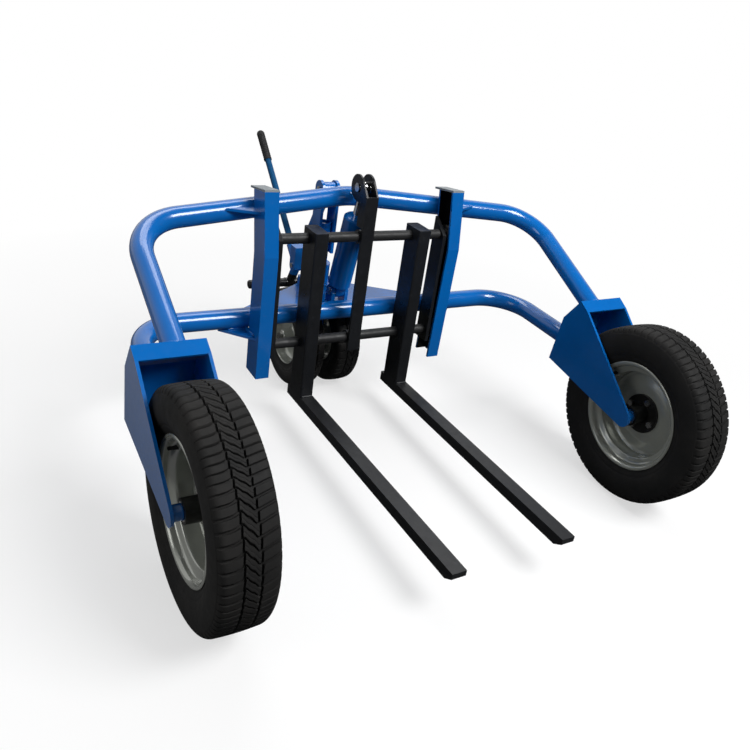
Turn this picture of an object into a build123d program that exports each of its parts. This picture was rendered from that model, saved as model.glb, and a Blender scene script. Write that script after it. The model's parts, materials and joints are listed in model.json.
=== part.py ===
from build123d import *
import os
from math import atan, cos, radians, sin, sqrt, tan

os.makedirs("parts", exist_ok=True)

# Load wheels: car-type tyres on drop-centre rims
tyre_d = 568.0
tyre_w = 145.0
tread_w = 122.0
crown_drop = 3.0
casing_t = 12.0
track = 1416.0
rim_w = 120.0
rim_flange_h = 11.0
rim_seat_d = 330.0
rim_well_d = 288.0
rim_well_w = 44.0
rim_step_w = 14.0
rim_t = 5.0
disc_x = 8.0
hub_d = 62.0
hub_len = 112.0
hub_flange_d = 126.0
hub_flange_t = 10.0
bolt_circle_d = 98.0
bolt_d = 12.0
bolt_hex_r = 10.8
bolt_head_h = 7.2
bolt_nut_h = 9.6
bolt_count = 4
bolt_turn = 17.0
bearing_d = 47.0
bearing_w = 14.0
axle_d = 25.0
axle_collar_d = 40.0

# Wheel brackets: two side plates with a folded cover between them
bracket_side_gap = 8.5
bracket_plate_t = 8.0
bracket_cover_t = 6.0
bracket_nose_r = 30.0
bracket_lip_y = 258.0
bracket_lip_h = 244.0
bracket_top_y = 297.0
bracket_top_h = 265.0
bracket_back_y = 352.0
bracket_back_h = 182.0
bracket_heel_y = 366.0
bracket_heel_h = 22.0

# Frame hoops
tube_d = 60.3
tube_t = 4.0
hoop_leg_inset = 18.0
hoop_bend_r = 150.0
hoop_kink_r = 250.0
upper_hoop_drop = 70.0
hoop_bow = 9.0

# Mast columns
mast_y = 668.5
mast_half_w = 342.0
column_w = 43.0
column_depth = 80.0
column_t = 8.0
column_foot_z = 209.0
column_bend_z = 603.0
column_head_z = 782.0
mast_lean = 10.0
cap_t = 6.0
cap_overhang = 25.0
gusset_t = 8.0
gusset_len = 88.0
gusset_reach = 50.0
gusset_lift = 6.0

# Lift carriage
lower_bar_z = 305.0
upper_bar_z = 646.0
bar_d = 32.0
roller_d = 60.0
roller_w = 24.0
roller_bore_d = 25.0
side_plate_gap = 6.0
side_plate_t = 12.0
side_plate_depth = 62.0
side_plate_drop = 36.0
side_plate_front = 4.0
side_plate_back = 52.0
post_w = 42.0
post_depth = 42.0
post_plate_t = 10.0
post_flat_t = 6.0
post_flat_rise = 30.0
post_drop = 40.0
post_rise = 128.0
ear_r = 40.0
lift_pin_d = 26.0
lift_pin_y = 36.0
lift_pin_rise = 142.0
slot_play = 7.0

# Forks
fork_w = 44.0
fork_front = 55.0
fork_back = 32.0
fork_heel = 14.0
fork_seat = 2.0
fork_t = 34.0
fork_wall = 6.0
fork_len = 993.0
fork_top_drop = 177.0
fork_shank_rise = 30.0
fork_bevel = 27.0
left_fork_x = -168.0
right_fork_x = 193.0

# Lift cylinder
cyl_setback = 28.2
cyl_base_rise = 37.0
cyl_d = 76.0
cyl_wall = 9.0
cyl_foot = 30.0
barrel_len = 232.0
gland_len = 20.0
rod_d = 26.0
piston_len = 30.0
eye_d = 44.0
eye_w = 32.0
base_pin_d = 24.0
lug_t = 12.0

# Platform and hand pump
platform_t = 10.0
platform_half_w = 340.0
pump_x = -81.0
pump_w = 62.0
pump_setback = 11.2
pump_depth = 100.0
pump_h = 66.0
lever_x = -152.0
lever_inset = 24.0
lever_rise = 66.0
lever_lean = 49.7
lever_len = 500.0
lever_d = 20.0
grip_d = 26.0
grip_len = 112.0
socket_w = 40.0
socket_rise = 64.0
socket_d = 32.0
socket_len = 74.0
rocker_r = 18.0
rocker_w = 28.0
nose_r = 10.0
nose_reach = 36.0
pump_pin_d = 16.0
pump_lug_t = 9.0
pump_barrel_d = 46.0
pump_barrel_h = 34.0
plunger_d = 24.0
plunger_len = 84.0
plunger_gap = 3.0
knob_d = 30.0
knob_len = 22.0
knob_stem_d = 12.0

# Steering and tow bar
steer_setback = 176.2
steer_tyre_d = 350.0
steer_tyre_w = 92.0
steer_rim_d = 196.0
steer_rim_w = 78.0
steer_hub_d = 52.0
steer_axle_d = 25.0
steer_nut_r = 18.75
steer_nut_t = 10.0
steer_leg_w = 40.0
steer_leg_depth = 90.0
steer_boss_r = 40.5
steer_clear = 3.6
crown_t = 5.0
thrust_bearing_t = 6.0
head_d = 72.0
head_up = 80.0
column_tube_d = 48.0
column_tube_t = 6.0
column_tube_len = 241.4
drawbar_rise = 335.0
drawbar_ear_t = 10.0
drawbar_ear_depth = 58.0
drawbar_eye_r = 23.2
drawbar_hang = 27.5
drawbar_len = 479.0
drawbar_d = 32.0
drawbar_pin_d = 20.0
handle_d = 32.0
handle_len = 330.0

# Clearances
run = 0.05
seat = 0.1
slack = 0.4
gap = 1.0

# Sizes that follow from the ones above
tyre_r = tyre_d / 2
tube_r = tube_d / 2
half_track = track / 2
half_depth = column_depth / 2
lean = radians(mast_lean)
bow_a = radians(hoop_bow)
bow = tan(bow_a)
bar_gap_z = upper_bar_z - lower_bar_z
carriage_tilt = atan(max(upper_bar_z - column_bend_z, 0) * tan(lean) / bar_gap_z)
bar_gap = bar_gap_z / cos(carriage_tilt)
pin_rise = bar_gap + lift_pin_rise
post_front = bar_d / 2 + slack + post_plate_t
bracket_half_w = tyre_w / 2 + bracket_side_gap + bracket_plate_t
hoop_leg_x = half_track - hoop_leg_inset
lower_hoop_y = mast_y + half_depth + tube_r
crown_top = steer_tyre_d + steer_clear + crown_t
platform_foot = crown_top + thrust_bearing_t + slack
platform_top = platform_foot + platform_t
platform_front = lower_hoop_y + tube_r
lower_hoop_z = platform_foot + platform_t / 2
upper_hoop_z = column_head_z - upper_hoop_drop
lean_h = upper_hoop_z - column_bend_z + half_depth * tan(lean / 2)
upper_hoop_y = mast_y + half_depth + lean_h * tan(lean) + tube_r / cos(lean) / cos(bow_a)
leg_foot_y = bracket_top_y + (bracket_back_y - bracket_top_y) / 3
leg_foot_z = tyre_r + bracket_top_h + (bracket_back_h - bracket_top_h) / 3
rake = atan((upper_hoop_z - leg_foot_z) / (upper_hoop_y - leg_foot_y))
rim_flange_r = rim_seat_d / 2 + rim_flange_h
cyl_base_y = platform_front + cyl_setback
cyl_base_z = platform_top + cyl_base_rise
pump_front_y = platform_front + pump_setback
pump_top = platform_top + pump_h
lever_a = radians(lever_lean)
lever_y = pump_front_y + lever_inset
lever_z = pump_top + lever_rise
grip_r = grip_d / 2
lever_reach = lever_y + (lever_len - grip_r) * sin(lever_a) + grip_r
hang_a = radians(drawbar_hang)
steer_y = platform_front + steer_setback
column_tube_top = crown_top + column_tube_len
drawbar_z = platform_top + drawbar_rise
handle_boss_r = handle_d / 2 + 2 * gap
tow_reach = steer_y + drawbar_len * sin(hang_a) + handle_boss_r
rear_reach = max(lever_reach, tow_reach)
axle_y = (tyre_r - rear_reach) / 2


def at(x, y, z):
    """Point whose y is measured rearwards from the load axle."""
    return (x, axle_y + y, z)


def save(piece, name):
    """Label a finished piece and write it."""
    piece.part.label = name
    export_step(piece.part, f"parts/{name}.step")


def side_view(x):
    """Side-on plane at x: across the sketch runs rearwards, up the sketch runs upwards."""
    return Plane(origin=at(x, 0, 0), x_dir=(0, 1, 0), z_dir=(1, 0, 0))


def plan_view(z):
    """Level plane at height z, measured rearwards from the load axle."""
    return Plane(origin=at(0, 0, z), x_dir=(1, 0, 0), z_dir=(0, 0, 1))


def front_view(x, y, z):
    """Upright plane across the truck, seen from the front: across runs to the right, up runs upwards."""
    return Plane(origin=at(x, y, z), x_dir=(1, 0, 0), z_dir=(0, -1, 0))


def cross_axis(y, z):
    """Axis across the truck."""
    return Axis(at(0, y, z), (1, 0, 0))


def carriage_view(x):
    """Side-on plane of the carriage: origin on the lower bar, up the sketch runs to the upper bar."""
    return Plane(
        origin=at(x, mast_y, lower_bar_z),
        x_dir=(0, cos(carriage_tilt), -sin(carriage_tilt)),
        z_dir=(1, 0, 0),
    )


def sloped(x, y, z, angle):
    """Plane whose normal leans rearwards from upright by an angle in radians."""
    return Plane(origin=at(x, y, z), x_dir=(1, 0, 0), z_dir=(0, sin(angle), cos(angle)))


def bracket_corners():
    """Folds of the bracket's cover, from the front lip round to the heel."""
    return [
        (bracket_lip_y, tyre_r + bracket_lip_h),
        (bracket_top_y, tyre_r + bracket_top_h),
        (bracket_back_y, tyre_r + bracket_back_h),
        (bracket_heel_y, tyre_r + bracket_heel_h),
    ]


def bracket_outline():
    """Side outline of a wheel bracket."""
    with BuildSketch() as outline:
        with Locations((0, tyre_r)):
            Circle(bracket_nose_r)
        with BuildLine():
            Polyline(*bracket_corners(), close=True)
        make_face()
        make_hull()
    return outline.sketch


def ahead_of(upper, lower):
    """Side view of all that lies ahead of the line through two of a bracket's corners."""
    run_y = lower[0] - upper[0]
    run_z = lower[1] - upper[1]
    with BuildSketch() as outline:
        with BuildLine():
            Polyline(
                (upper[0] - run_y, upper[1] - run_z),
                (lower[0] + run_y, lower[1] + run_z),
                (0, lower[1] + run_z),
                (0, upper[1] - run_z),
                close=True,
            )
        make_face()
    return outline.sketch


def column_outline(half, foot, head):
    """Side outline of a bent column, half its depth each side of the mast line."""
    length = (head - column_bend_z) / cos(lean)
    top_y = mast_y + length * sin(lean)
    top_z = column_bend_z + length * cos(lean)
    fold = half * tan(lean / 2)
    with BuildSketch() as outline:
        with BuildLine():
            Polyline(
                (mast_y - half, foot),
                (mast_y + half, foot),
                (mast_y + half, column_bend_z - fold),
                (top_y + half * cos(lean), top_z - half * sin(lean)),
                (top_y - half * cos(lean), top_z + half * sin(lean)),
                (mast_y - half, column_bend_z + fold),
                close=True,
            )
        make_face()
    return outline.sketch


# Load wheels
wheel_sides = {"left": -half_track, "right": half_track}
seat_r = rim_seat_d / 2
well_r = rim_well_d / 2
bead_x = rim_w / 2 - rim_t
well_x = rim_well_w / 2
step_x = well_x + rim_step_w
step_lean = rim_t * tan(atan((seat_r - well_r) / rim_step_w) / 2)
shoulder_r = tyre_r - crown_drop
belly_r = (shoulder_r + rim_flange_r) / 2
for side, wheel_x in wheel_sides.items():
    axis = cross_axis(0, tyre_r)
    middle = front_view(wheel_x, 0, tyre_r)

    with BuildPart() as tyre:
        with BuildSketch(middle):
            with BuildLine():
                belly = (tyre_w / 2, belly_r)
                shoulder = (tread_w / 2, shoulder_r)
                bead = (bead_x - seat, rim_flange_r)
                inner_shoulder = (tread_w / 2 - casing_t, shoulder_r - casing_t)
                TangentArc(belly, shoulder, tangent=(0, 1))
                TangentArc((0, tyre_r), shoulder, tangent=(1, 0))
                TangentArc((0, tyre_r - casing_t), inner_shoulder, tangent=(1, 0))
                Line((0, tyre_r), (0, tyre_r - casing_t))
                TangentArc(belly, bead, tangent=(0, -1))
                Polyline(
                    bead,
                    (bead_x - seat, seat_r + seat),
                    (bead_x - casing_t, seat_r + seat),
                    (tyre_w / 2 - casing_t, belly_r),
                    inner_shoulder,
                )
            make_face()
            mirror(about=Plane.YZ)
        revolve(axis=axis)
    save(tyre, f"{side}_tyre")

    with BuildPart() as rim:
        with BuildSketch(middle):
            with BuildLine():
                rim_half = [
                    (well_x, well_r),
                    (step_x, seat_r),
                    (bead_x, seat_r),
                    (bead_x, rim_flange_r),
                    (rim_w / 2, rim_flange_r),
                    (rim_w / 2, seat_r - rim_t),
                    (step_x + step_lean, seat_r - rim_t),
                    (well_x + step_lean, well_r - rim_t),
                ]
                mirrored = [(-x, r) for x, r in reversed(rim_half)]
                Polyline(*rim_half, *mirrored, close=True)
            make_face()
            with BuildLine():
                disc_edge = well_r - rim_t / 2
                Polyline(
                    (disc_x, hub_d / 2 + seat),
                    (disc_x, disc_edge),
                    (disc_x + rim_t, disc_edge),
                    (disc_x + rim_t, hub_d / 2 + seat),
                    close=True,
                )
            make_face()
        revolve(axis=axis)
        with BuildSketch(side_view(wheel_x + disc_x)):
            with Locations((0, tyre_r)):
                with PolarLocations(bolt_circle_d / 2, bolt_count, start_angle=bolt_turn):
                    Circle(bolt_d / 2 + seat)
        extrude(amount=rim_t, mode=Mode.SUBTRACT)
    save(rim, f"{side}_rim")

    with BuildPart() as hub:
        with BuildSketch(side_view(wheel_x - hub_len / 2)):
            with Locations((0, tyre_r)):
                Circle(hub_d / 2)
        extrude(amount=hub_len)
        with BuildSketch(side_view(wheel_x + disc_x)):
            with Locations((0, tyre_r)):
                Circle(hub_flange_d / 2)
        extrude(amount=-hub_flange_t)
        with BuildSketch(side_view(wheel_x - hub_len / 2)):
            with Locations((0, tyre_r)):
                Circle(axle_d / 2 + 3 * gap)
        extrude(amount=hub_len, mode=Mode.SUBTRACT)
        for end, inward in ((-hub_len / 2, bearing_w), (hub_len / 2, -bearing_w)):
            with BuildSketch(side_view(wheel_x + end)):
                with Locations((0, tyre_r)):
                    Circle(bearing_d / 2 + seat)
            extrude(amount=inward, mode=Mode.SUBTRACT)
        with BuildSketch(side_view(wheel_x + disc_x)):
            with Locations((0, tyre_r)):
                with PolarLocations(bolt_circle_d / 2, bolt_count, start_angle=bolt_turn):
                    Circle(bolt_d / 2 + seat)
        extrude(amount=-hub_flange_t, mode=Mode.SUBTRACT)
    save(hub, f"{side}_hub")

    with BuildPart() as bearings:
        for end, inward in ((-hub_len / 2, bearing_w), (hub_len / 2, -bearing_w)):
            with BuildSketch(side_view(wheel_x + end)):
                with Locations((0, tyre_r)):
                    Circle(bearing_d / 2)
                    Circle(axle_d / 2 + run, mode=Mode.SUBTRACT)
            extrude(amount=inward)
    save(bearings, f"{side}_wheel_bearings")

    with BuildPart() as bolts:
        for start, length, across in (
            (disc_x - hub_flange_t - bolt_head_h, bolt_head_h, bolt_hex_r),
            (disc_x - hub_flange_t, hub_flange_t + rim_t, bolt_d / 2),
            (disc_x + rim_t, bolt_nut_h, bolt_hex_r),
        ):
            with BuildSketch(side_view(wheel_x + start)):
                with Locations((0, tyre_r)):
                    with PolarLocations(bolt_circle_d / 2, bolt_count, start_angle=bolt_turn):
                        if across > bolt_d / 2:
                            RegularPolygon(across, 6)
                        else:
                            Circle(across)
            extrude(amount=length)
    save(bolts, f"{side}_wheel_bolts")

# Stub axles with collars between bracket and hub
with BuildPart() as axles:
    for wheel_x in wheel_sides.values():
        with BuildSketch(side_view(wheel_x - bracket_half_w)):
            with Locations((0, tyre_r)):
                Circle(axle_d / 2)
        extrude(amount=2 * bracket_half_w)
        inner_half = bracket_half_w - bracket_plate_t
        for end in (-1, 1):
            with BuildSketch(side_view(wheel_x + end * inner_half)):
                with Locations((0, tyre_r)):
                    Circle(axle_collar_d / 2)
            extrude(amount=-end * (inner_half - hub_len / 2 - gap))
save(axles, "load_axles")

# Wheel brackets
for side, wheel_x in wheel_sides.items():
    with BuildPart() as bracket:
        for face in (wheel_x - bracket_half_w, wheel_x + bracket_half_w - bracket_plate_t):
            with BuildSketch(side_view(face)):
                add(bracket_outline())
                with Locations((0, tyre_r)):
                    Circle(axle_d / 2 + seat, mode=Mode.SUBTRACT)
            extrude(amount=bracket_plate_t)
        with BuildSketch(side_view(wheel_x - bracket_half_w)):
            with BuildLine():
                Polyline(*bracket_corners())
                offset(amount=bracket_cover_t, side=Side.RIGHT)
            make_face()
        extrude(amount=2 * bracket_half_w)
    save(bracket, f"{side}_wheel_bracket")

# Frame hoops, coped to the backs of the brackets
top_corner, back_corner, heel_corner = bracket_corners()[1:]
leg_start = min(bracket_back_y, bracket_heel_y) - tube_r
with BuildPart() as lower_hoop:
    with BuildLine(plan_view(lower_hoop_z)) as path:
        FilletPolyline(
            (-hoop_leg_x, leg_start),
            (-hoop_leg_x, lower_hoop_y),
            (hoop_leg_x, lower_hoop_y),
            (hoop_leg_x, leg_start),
            radius=hoop_bend_r,
        )
    with BuildSketch(Plane(origin=path.line @ 0, z_dir=path.line % 0)):
        Circle(tube_r)
        Circle(tube_r - tube_t, mode=Mode.SUBTRACT)
    sweep(path=path.line)
    with BuildSketch(side_view(0)):
        add(ahead_of(back_corner, heel_corner))
    extrude(amount=track, both=True, mode=Mode.SUBTRACT)
save(lower_hoop, "lower_hoop")

hoop_plane = Plane(
    origin=at(0, upper_hoop_y, upper_hoop_z),
    x_dir=(1, 0, 0),
    z_dir=(0, -sin(rake), cos(rake)),
)
leg_end = (bracket_top_y - upper_hoop_y) / cos(rake)
corner_v = (mast_half_w - hoop_leg_x) * bow
crown_v = mast_half_w * bow
with BuildPart() as upper_hoop:
    with BuildLine(hoop_plane) as path:
        FilletPolyline(
            (-hoop_leg_x, leg_end),
            (-hoop_leg_x, corner_v),
            (0, crown_v),
            (hoop_leg_x, corner_v),
            (hoop_leg_x, leg_end),
            radius=[hoop_bend_r, hoop_kink_r, hoop_bend_r],
        )
    with BuildSketch(Plane(origin=path.line @ 0, z_dir=path.line % 0)):
        Circle(tube_r)
        Circle(tube_r - tube_t, mode=Mode.SUBTRACT)
    sweep(path=path.line)
    with BuildSketch(side_view(0)):
        add(ahead_of(top_corner, back_corner))
    extrude(amount=track, both=True, mode=Mode.SUBTRACT)
save(upper_hoop, "upper_hoop")

# Mast columns: channels whose open side faces the carriage
for side, sign in (("left", -1), ("right", 1)):
    with BuildPart() as column:
        with BuildSketch(side_view(sign * mast_half_w)):
            add(column_outline(half_depth, column_foot_z, column_head_z))
        extrude(amount=-sign * column_w)
        with BuildSketch(side_view(sign * (mast_half_w - column_t))):
            add(column_outline(half_depth - column_t, column_foot_z - gap, column_head_z + gap))
        extrude(amount=-sign * (column_w - column_t), mode=Mode.SUBTRACT)
    save(column, f"{side}_column")

head_len = (column_head_z - column_bend_z) / cos(lean)
cap_plane = sloped(0, mast_y + head_len * sin(lean), column_head_z, lean)
with BuildPart() as caps:
    with BuildSketch(cap_plane):
        with GridLocations(2 * mast_half_w - column_w, 0, 2, 1):
            with Locations((0, cap_overhang / 2)):
                Rectangle(column_w, column_depth + cap_overhang)
    extrude(amount=cap_t)
save(caps, "column_caps")

with BuildPart() as gussets:
    with BuildSketch(plan_view(lower_hoop_z - tube_r)):
        for sign in (-1, 1):
            with BuildLine():
                Polyline(
                    (sign * mast_half_w, lower_hoop_y - gusset_len),
                    (sign * mast_half_w, lower_hoop_y),
                    (sign * (mast_half_w + gusset_len), lower_hoop_y),
                    close=True,
                )
            make_face()
    extrude(amount=-gusset_t)
    with BuildSketch(plan_view(upper_hoop_z + gusset_lift)):
        near_y = upper_hoop_y - sqrt(tube_r**2 - gusset_lift**2) / cos(bow_a)
        for sign in (-1, 1):
            with BuildLine():
                Polyline(
                    (sign * mast_half_w, near_y),
                    (sign * (mast_half_w + gusset_len), near_y - gusset_len * bow * cos(rake)),
                    (sign * mast_half_w, near_y - gusset_reach),
                    close=True,
                )
            make_face()
    extrude(amount=gusset_t)
save(gussets, "frame_gussets")

# Platform behind the mast, narrowing to the steering head
with BuildPart() as platform:
    with BuildSketch(plan_view(platform_top)):
        with Locations((0, steer_y)):
            Circle(head_d / 2 + platform_t)
        with Locations((0, platform_front + platform_t)):
            Rectangle(2 * platform_half_w, 2 * platform_t)
        make_hull()
        with Locations((0, steer_y)):
            Circle(head_d / 2 + seat, mode=Mode.SUBTRACT)
    extrude(amount=-platform_t)
save(platform, "platform_plate")

with BuildPart() as head:
    with BuildSketch(plan_view(platform_foot)):
        with Locations((0, steer_y)):
            Circle(head_d / 2)
            Circle(column_tube_d / 2 + run, mode=Mode.SUBTRACT)
    extrude(amount=platform_t + head_up)
save(head, "head_tube")

# Lift carriage: bars, rollers, side plates and post
shoulder_x = mast_half_w - column_w + 2 * gap
roller_x = shoulder_x + gap
stub_end = roller_x + roller_w + gap
for name, rise in (("lower", 0), ("upper", bar_gap)):
    with BuildPart() as bar:
        with BuildSketch(carriage_view(-shoulder_x)):
            with Locations((0, rise)):
                Circle(bar_d / 2)
        extrude(amount=2 * shoulder_x)
        with BuildSketch(carriage_view(-stub_end)):
            with Locations((0, rise)):
                Circle(roller_bore_d / 2)
        extrude(amount=2 * stub_end)
    save(bar, f"{name}_fork_bar")
    for side, sign in (("left", -1), ("right", 1)):
        with BuildPart() as roller:
            with BuildSketch(carriage_view(sign * roller_x)):
                with Locations((0, rise)):
                    Circle(roller_d / 2)
                    Circle(roller_bore_d / 2 + run, mode=Mode.SUBTRACT)
            extrude(amount=sign * roller_w)
        save(roller, f"{side}_{name}_roller")

side_plate_x = mast_half_w - column_w - side_plate_gap - side_plate_t
half_plate = side_plate_depth / 2
for side, sign in (("left", -1), ("right", 1)):
    with BuildPart() as side_plate:
        with BuildSketch(carriage_view(sign * side_plate_x)):
            with BuildLine():
                Polyline(
                    (-half_plate, -side_plate_drop),
                    (half_plate, -side_plate_drop),
                    (half_plate, bar_gap + side_plate_back),
                    (-half_plate, bar_gap + side_plate_front),
                    close=True,
                )
            make_face()
            Circle(bar_d / 2 + run, mode=Mode.SUBTRACT)
            with Locations((0, bar_gap)):
                Circle(bar_d / 2 + seat, mode=Mode.SUBTRACT)
        extrude(amount=sign * side_plate_t)
    save(side_plate, f"{side}_side_plate")

post_head = bar_gap + post_rise
flat_foot = bar_gap + post_flat_rise
ear_root = pin_rise - ear_r - 2 * gap
with BuildPart() as post:
    with BuildSketch(carriage_view(-post_w / 2)):
        with BuildLine():
            Polyline(
                (-post_front, -post_drop),
                (post_plate_t - post_front, -post_drop),
                (post_plate_t - post_front, post_head),
                (-post_front, post_head),
                close=True,
            )
        make_face()
        with Locations((0, 0), (0, bar_gap)):
            Circle(bar_d / 2 + fork_wall)
        Circle(bar_d / 2 + run, mode=Mode.SUBTRACT)
        with Locations((0, bar_gap)):
            Circle(bar_d / 2 + seat, mode=Mode.SUBTRACT)
    extrude(amount=post_w)
    for inner in (-post_w / 2, post_w / 2 - post_flat_t):
        with BuildSketch(carriage_view(inner)):
            with Locations((lift_pin_y, pin_rise)):
                Circle(ear_r)
            with BuildLine():
                Polyline(
                    (-post_front, ear_root),
                    (post_depth - post_front, ear_root),
                    (post_depth - post_front, post_head),
                    (-post_front, post_head),
                    close=True,
                )
            make_face()
            make_hull()
            with BuildLine():
                Polyline(
                    (-post_front, flat_foot),
                    (post_depth - post_front, flat_foot),
                    (post_depth - post_front, post_head),
                    (-post_front, post_head),
                    close=True,
                )
            make_face()
            with Locations((lift_pin_y, pin_rise)):
                SlotCenterToCenter(2 * slot_play, lift_pin_d + 2 * slack, mode=Mode.SUBTRACT)
        extrude(amount=post_flat_t)
save(post, "lift_post")

# Forks: capped box shanks that slide on the bars, each on a seat cut in its solid blade's heel
shank_top = bar_gap + fork_shank_rise
shank_foot = -fork_top_drop - fork_seat
heel = fork_back + fork_heel
tip = heel - fork_len
sole = -fork_top_drop - fork_t
for side, fork_x in (("left", left_fork_x), ("right", right_fork_x)):
    with BuildPart() as shank:
        with BuildSketch(carriage_view(fork_x - fork_w / 2)):
            with BuildLine():
                Polyline(
                    (-fork_front, shank_foot),
                    (fork_back, shank_foot),
                    (fork_back, shank_top),
                    (-fork_front, shank_top),
                    close=True,
                )
            make_face()
        extrude(amount=fork_w)
        fillet(shank.edges().group_by(SortBy.LENGTH)[-1], radius=fork_wall)
        with BuildSketch(carriage_view(fork_x - fork_w / 2 + fork_wall)):
            with BuildLine():
                Polyline(
                    (fork_wall - fork_front, shank_foot),
                    (fork_back - fork_wall, shank_foot),
                    (fork_back - fork_wall, shank_top - fork_wall),
                    (fork_wall - fork_front, shank_top - fork_wall),
                    close=True,
                )
            make_face()
        extrude(amount=fork_w - 2 * fork_wall, mode=Mode.SUBTRACT)
        with BuildSketch(carriage_view(fork_x - fork_w / 2)):
            with Locations((0, 0), (0, bar_gap)):
                Circle(bar_d / 2 + fork_wall)
        extrude(amount=fork_w)
        with BuildSketch(carriage_view(fork_x - fork_w / 2)):
            with Locations((0, 0), (0, bar_gap)):
                Circle(bar_d / 2 + slack)
        extrude(amount=fork_w, mode=Mode.SUBTRACT)
    save(shank, f"{side}_fork_shank")

    with BuildPart() as blade:
        with BuildSketch(carriage_view(fork_x - fork_w / 2)):
            with BuildLine():
                Polyline(
                    (heel, shank_foot),
                    (-fork_front, shank_foot),
                    (-fork_front, -fork_top_drop),
                    (tip, -fork_top_drop),
                    (tip, sole + fork_t / 2),
                    (tip + fork_bevel, sole),
                    (heel, sole),
                    close=True,
                )
            make_face()
        extrude(amount=fork_w)
    save(blade, f"{side}_fork_blade")

# Lift cylinder, leaning from its base pin to the pin in the post's ears
pin_y = mast_y + lift_pin_y * cos(carriage_tilt) + pin_rise * sin(carriage_tilt)
pin_z = lower_bar_z - lift_pin_y * sin(carriage_tilt) + pin_rise * cos(carriage_tilt)
cyl_lean = atan((pin_y - cyl_base_y) / (pin_z - cyl_base_z))
rod_reach = (pin_z - cyl_base_z) / cos(cyl_lean)


def along_cylinder(distance):
    """Plane square to the cylinder at a distance from its base pin."""
    return sloped(0, cyl_base_y + distance * sin(cyl_lean), cyl_base_z + distance * cos(cyl_lean), cyl_lean)


bore_r = cyl_d / 2 - cyl_wall
gland_top = cyl_foot + barrel_len + gland_len
with BuildPart() as barrel:
    with BuildSketch(along_cylinder(cyl_foot)):
        Circle(cyl_d / 2)
    extrude(amount=barrel_len)
    with BuildSketch(along_cylinder(cyl_foot + cyl_wall)):
        Circle(bore_r)
    extrude(amount=barrel_len - cyl_wall, mode=Mode.SUBTRACT)
    with BuildSketch(side_view(-eye_w / 2)):
        with Locations((cyl_base_y, cyl_base_z)):
            Circle(eye_d / 2)
    extrude(amount=eye_w)
    with BuildSketch(along_cylinder(0)):
        Rectangle(eye_w, eye_d)
    extrude(amount=cyl_foot)
    with BuildSketch(side_view(-eye_w / 2)):
        with Locations((cyl_base_y, cyl_base_z)):
            Circle(base_pin_d / 2 + run)
    extrude(amount=eye_w, mode=Mode.SUBTRACT)
save(barrel, "cylinder_barrel")

with BuildPart() as gland:
    with BuildSketch(along_cylinder(cyl_foot + barrel_len)):
        Circle(cyl_d / 2)
    extrude(amount=gland_len)
    chamfer(gland.edges().group_by(Axis.Z)[-1], length=gland_len / 4)
    with BuildSketch(along_cylinder(cyl_foot + barrel_len)):
        Circle(rod_d / 2 + run)
    extrude(amount=gland_len, mode=Mode.SUBTRACT)
save(gland, "cylinder_gland")

crosshead_w = post_w - 2 * post_flat_t - 2 * slack
piston_foot = cyl_foot + cyl_wall + (barrel_len - cyl_wall) / 3
with BuildPart() as rod:
    with BuildSketch(along_cylinder(piston_foot)):
        Circle(bore_r - run)
    extrude(amount=piston_len)
    with BuildSketch(along_cylinder(piston_foot)):
        Circle(rod_d / 2)
    extrude(amount=rod_reach - piston_foot)
    with BuildSketch(side_view(-crosshead_w / 2)):
        with Locations((pin_y, pin_z)):
            Circle(lift_pin_d / 2 + fork_wall)
    extrude(amount=crosshead_w)
    with BuildSketch(side_view(-crosshead_w / 2)):
        with Locations((pin_y, pin_z)):
            Circle(lift_pin_d / 2 + seat)
    extrude(amount=crosshead_w, mode=Mode.SUBTRACT)
save(rod, "piston_rod")

with BuildPart() as lift_pin:
    with BuildSketch(side_view(-post_w / 2 - 3 * gap)):
        with Locations((pin_y, pin_z)):
            Circle(lift_pin_d / 2)
    extrude(amount=post_w + 6 * gap)
save(lift_pin, "lift_pin")

lug_x = eye_w / 2 + 2 * gap
with BuildPart() as lugs:
    for face in (-lug_x - lug_t, lug_x):
        with BuildSketch(side_view(face)):
            with Locations((cyl_base_y, cyl_base_z)):
                Circle(eye_d / 2)
            with Locations((cyl_base_y, platform_top + gap)):
                Rectangle(eye_d, 2 * gap)
            make_hull()
            with Locations((cyl_base_y, cyl_base_z)):
                Circle(base_pin_d / 2 + seat, mode=Mode.SUBTRACT)
        extrude(amount=lug_t)
save(lugs, "cylinder_lugs")

with BuildPart() as base_pin:
    with BuildSketch(side_view(-lug_x - lug_t - 4 * gap)):
        with Locations((cyl_base_y, cyl_base_z)):
            Circle(base_pin_d / 2)
    extrude(amount=2 * (lug_x + lug_t + 4 * gap))
save(base_pin, "cylinder_base_pin")

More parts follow.
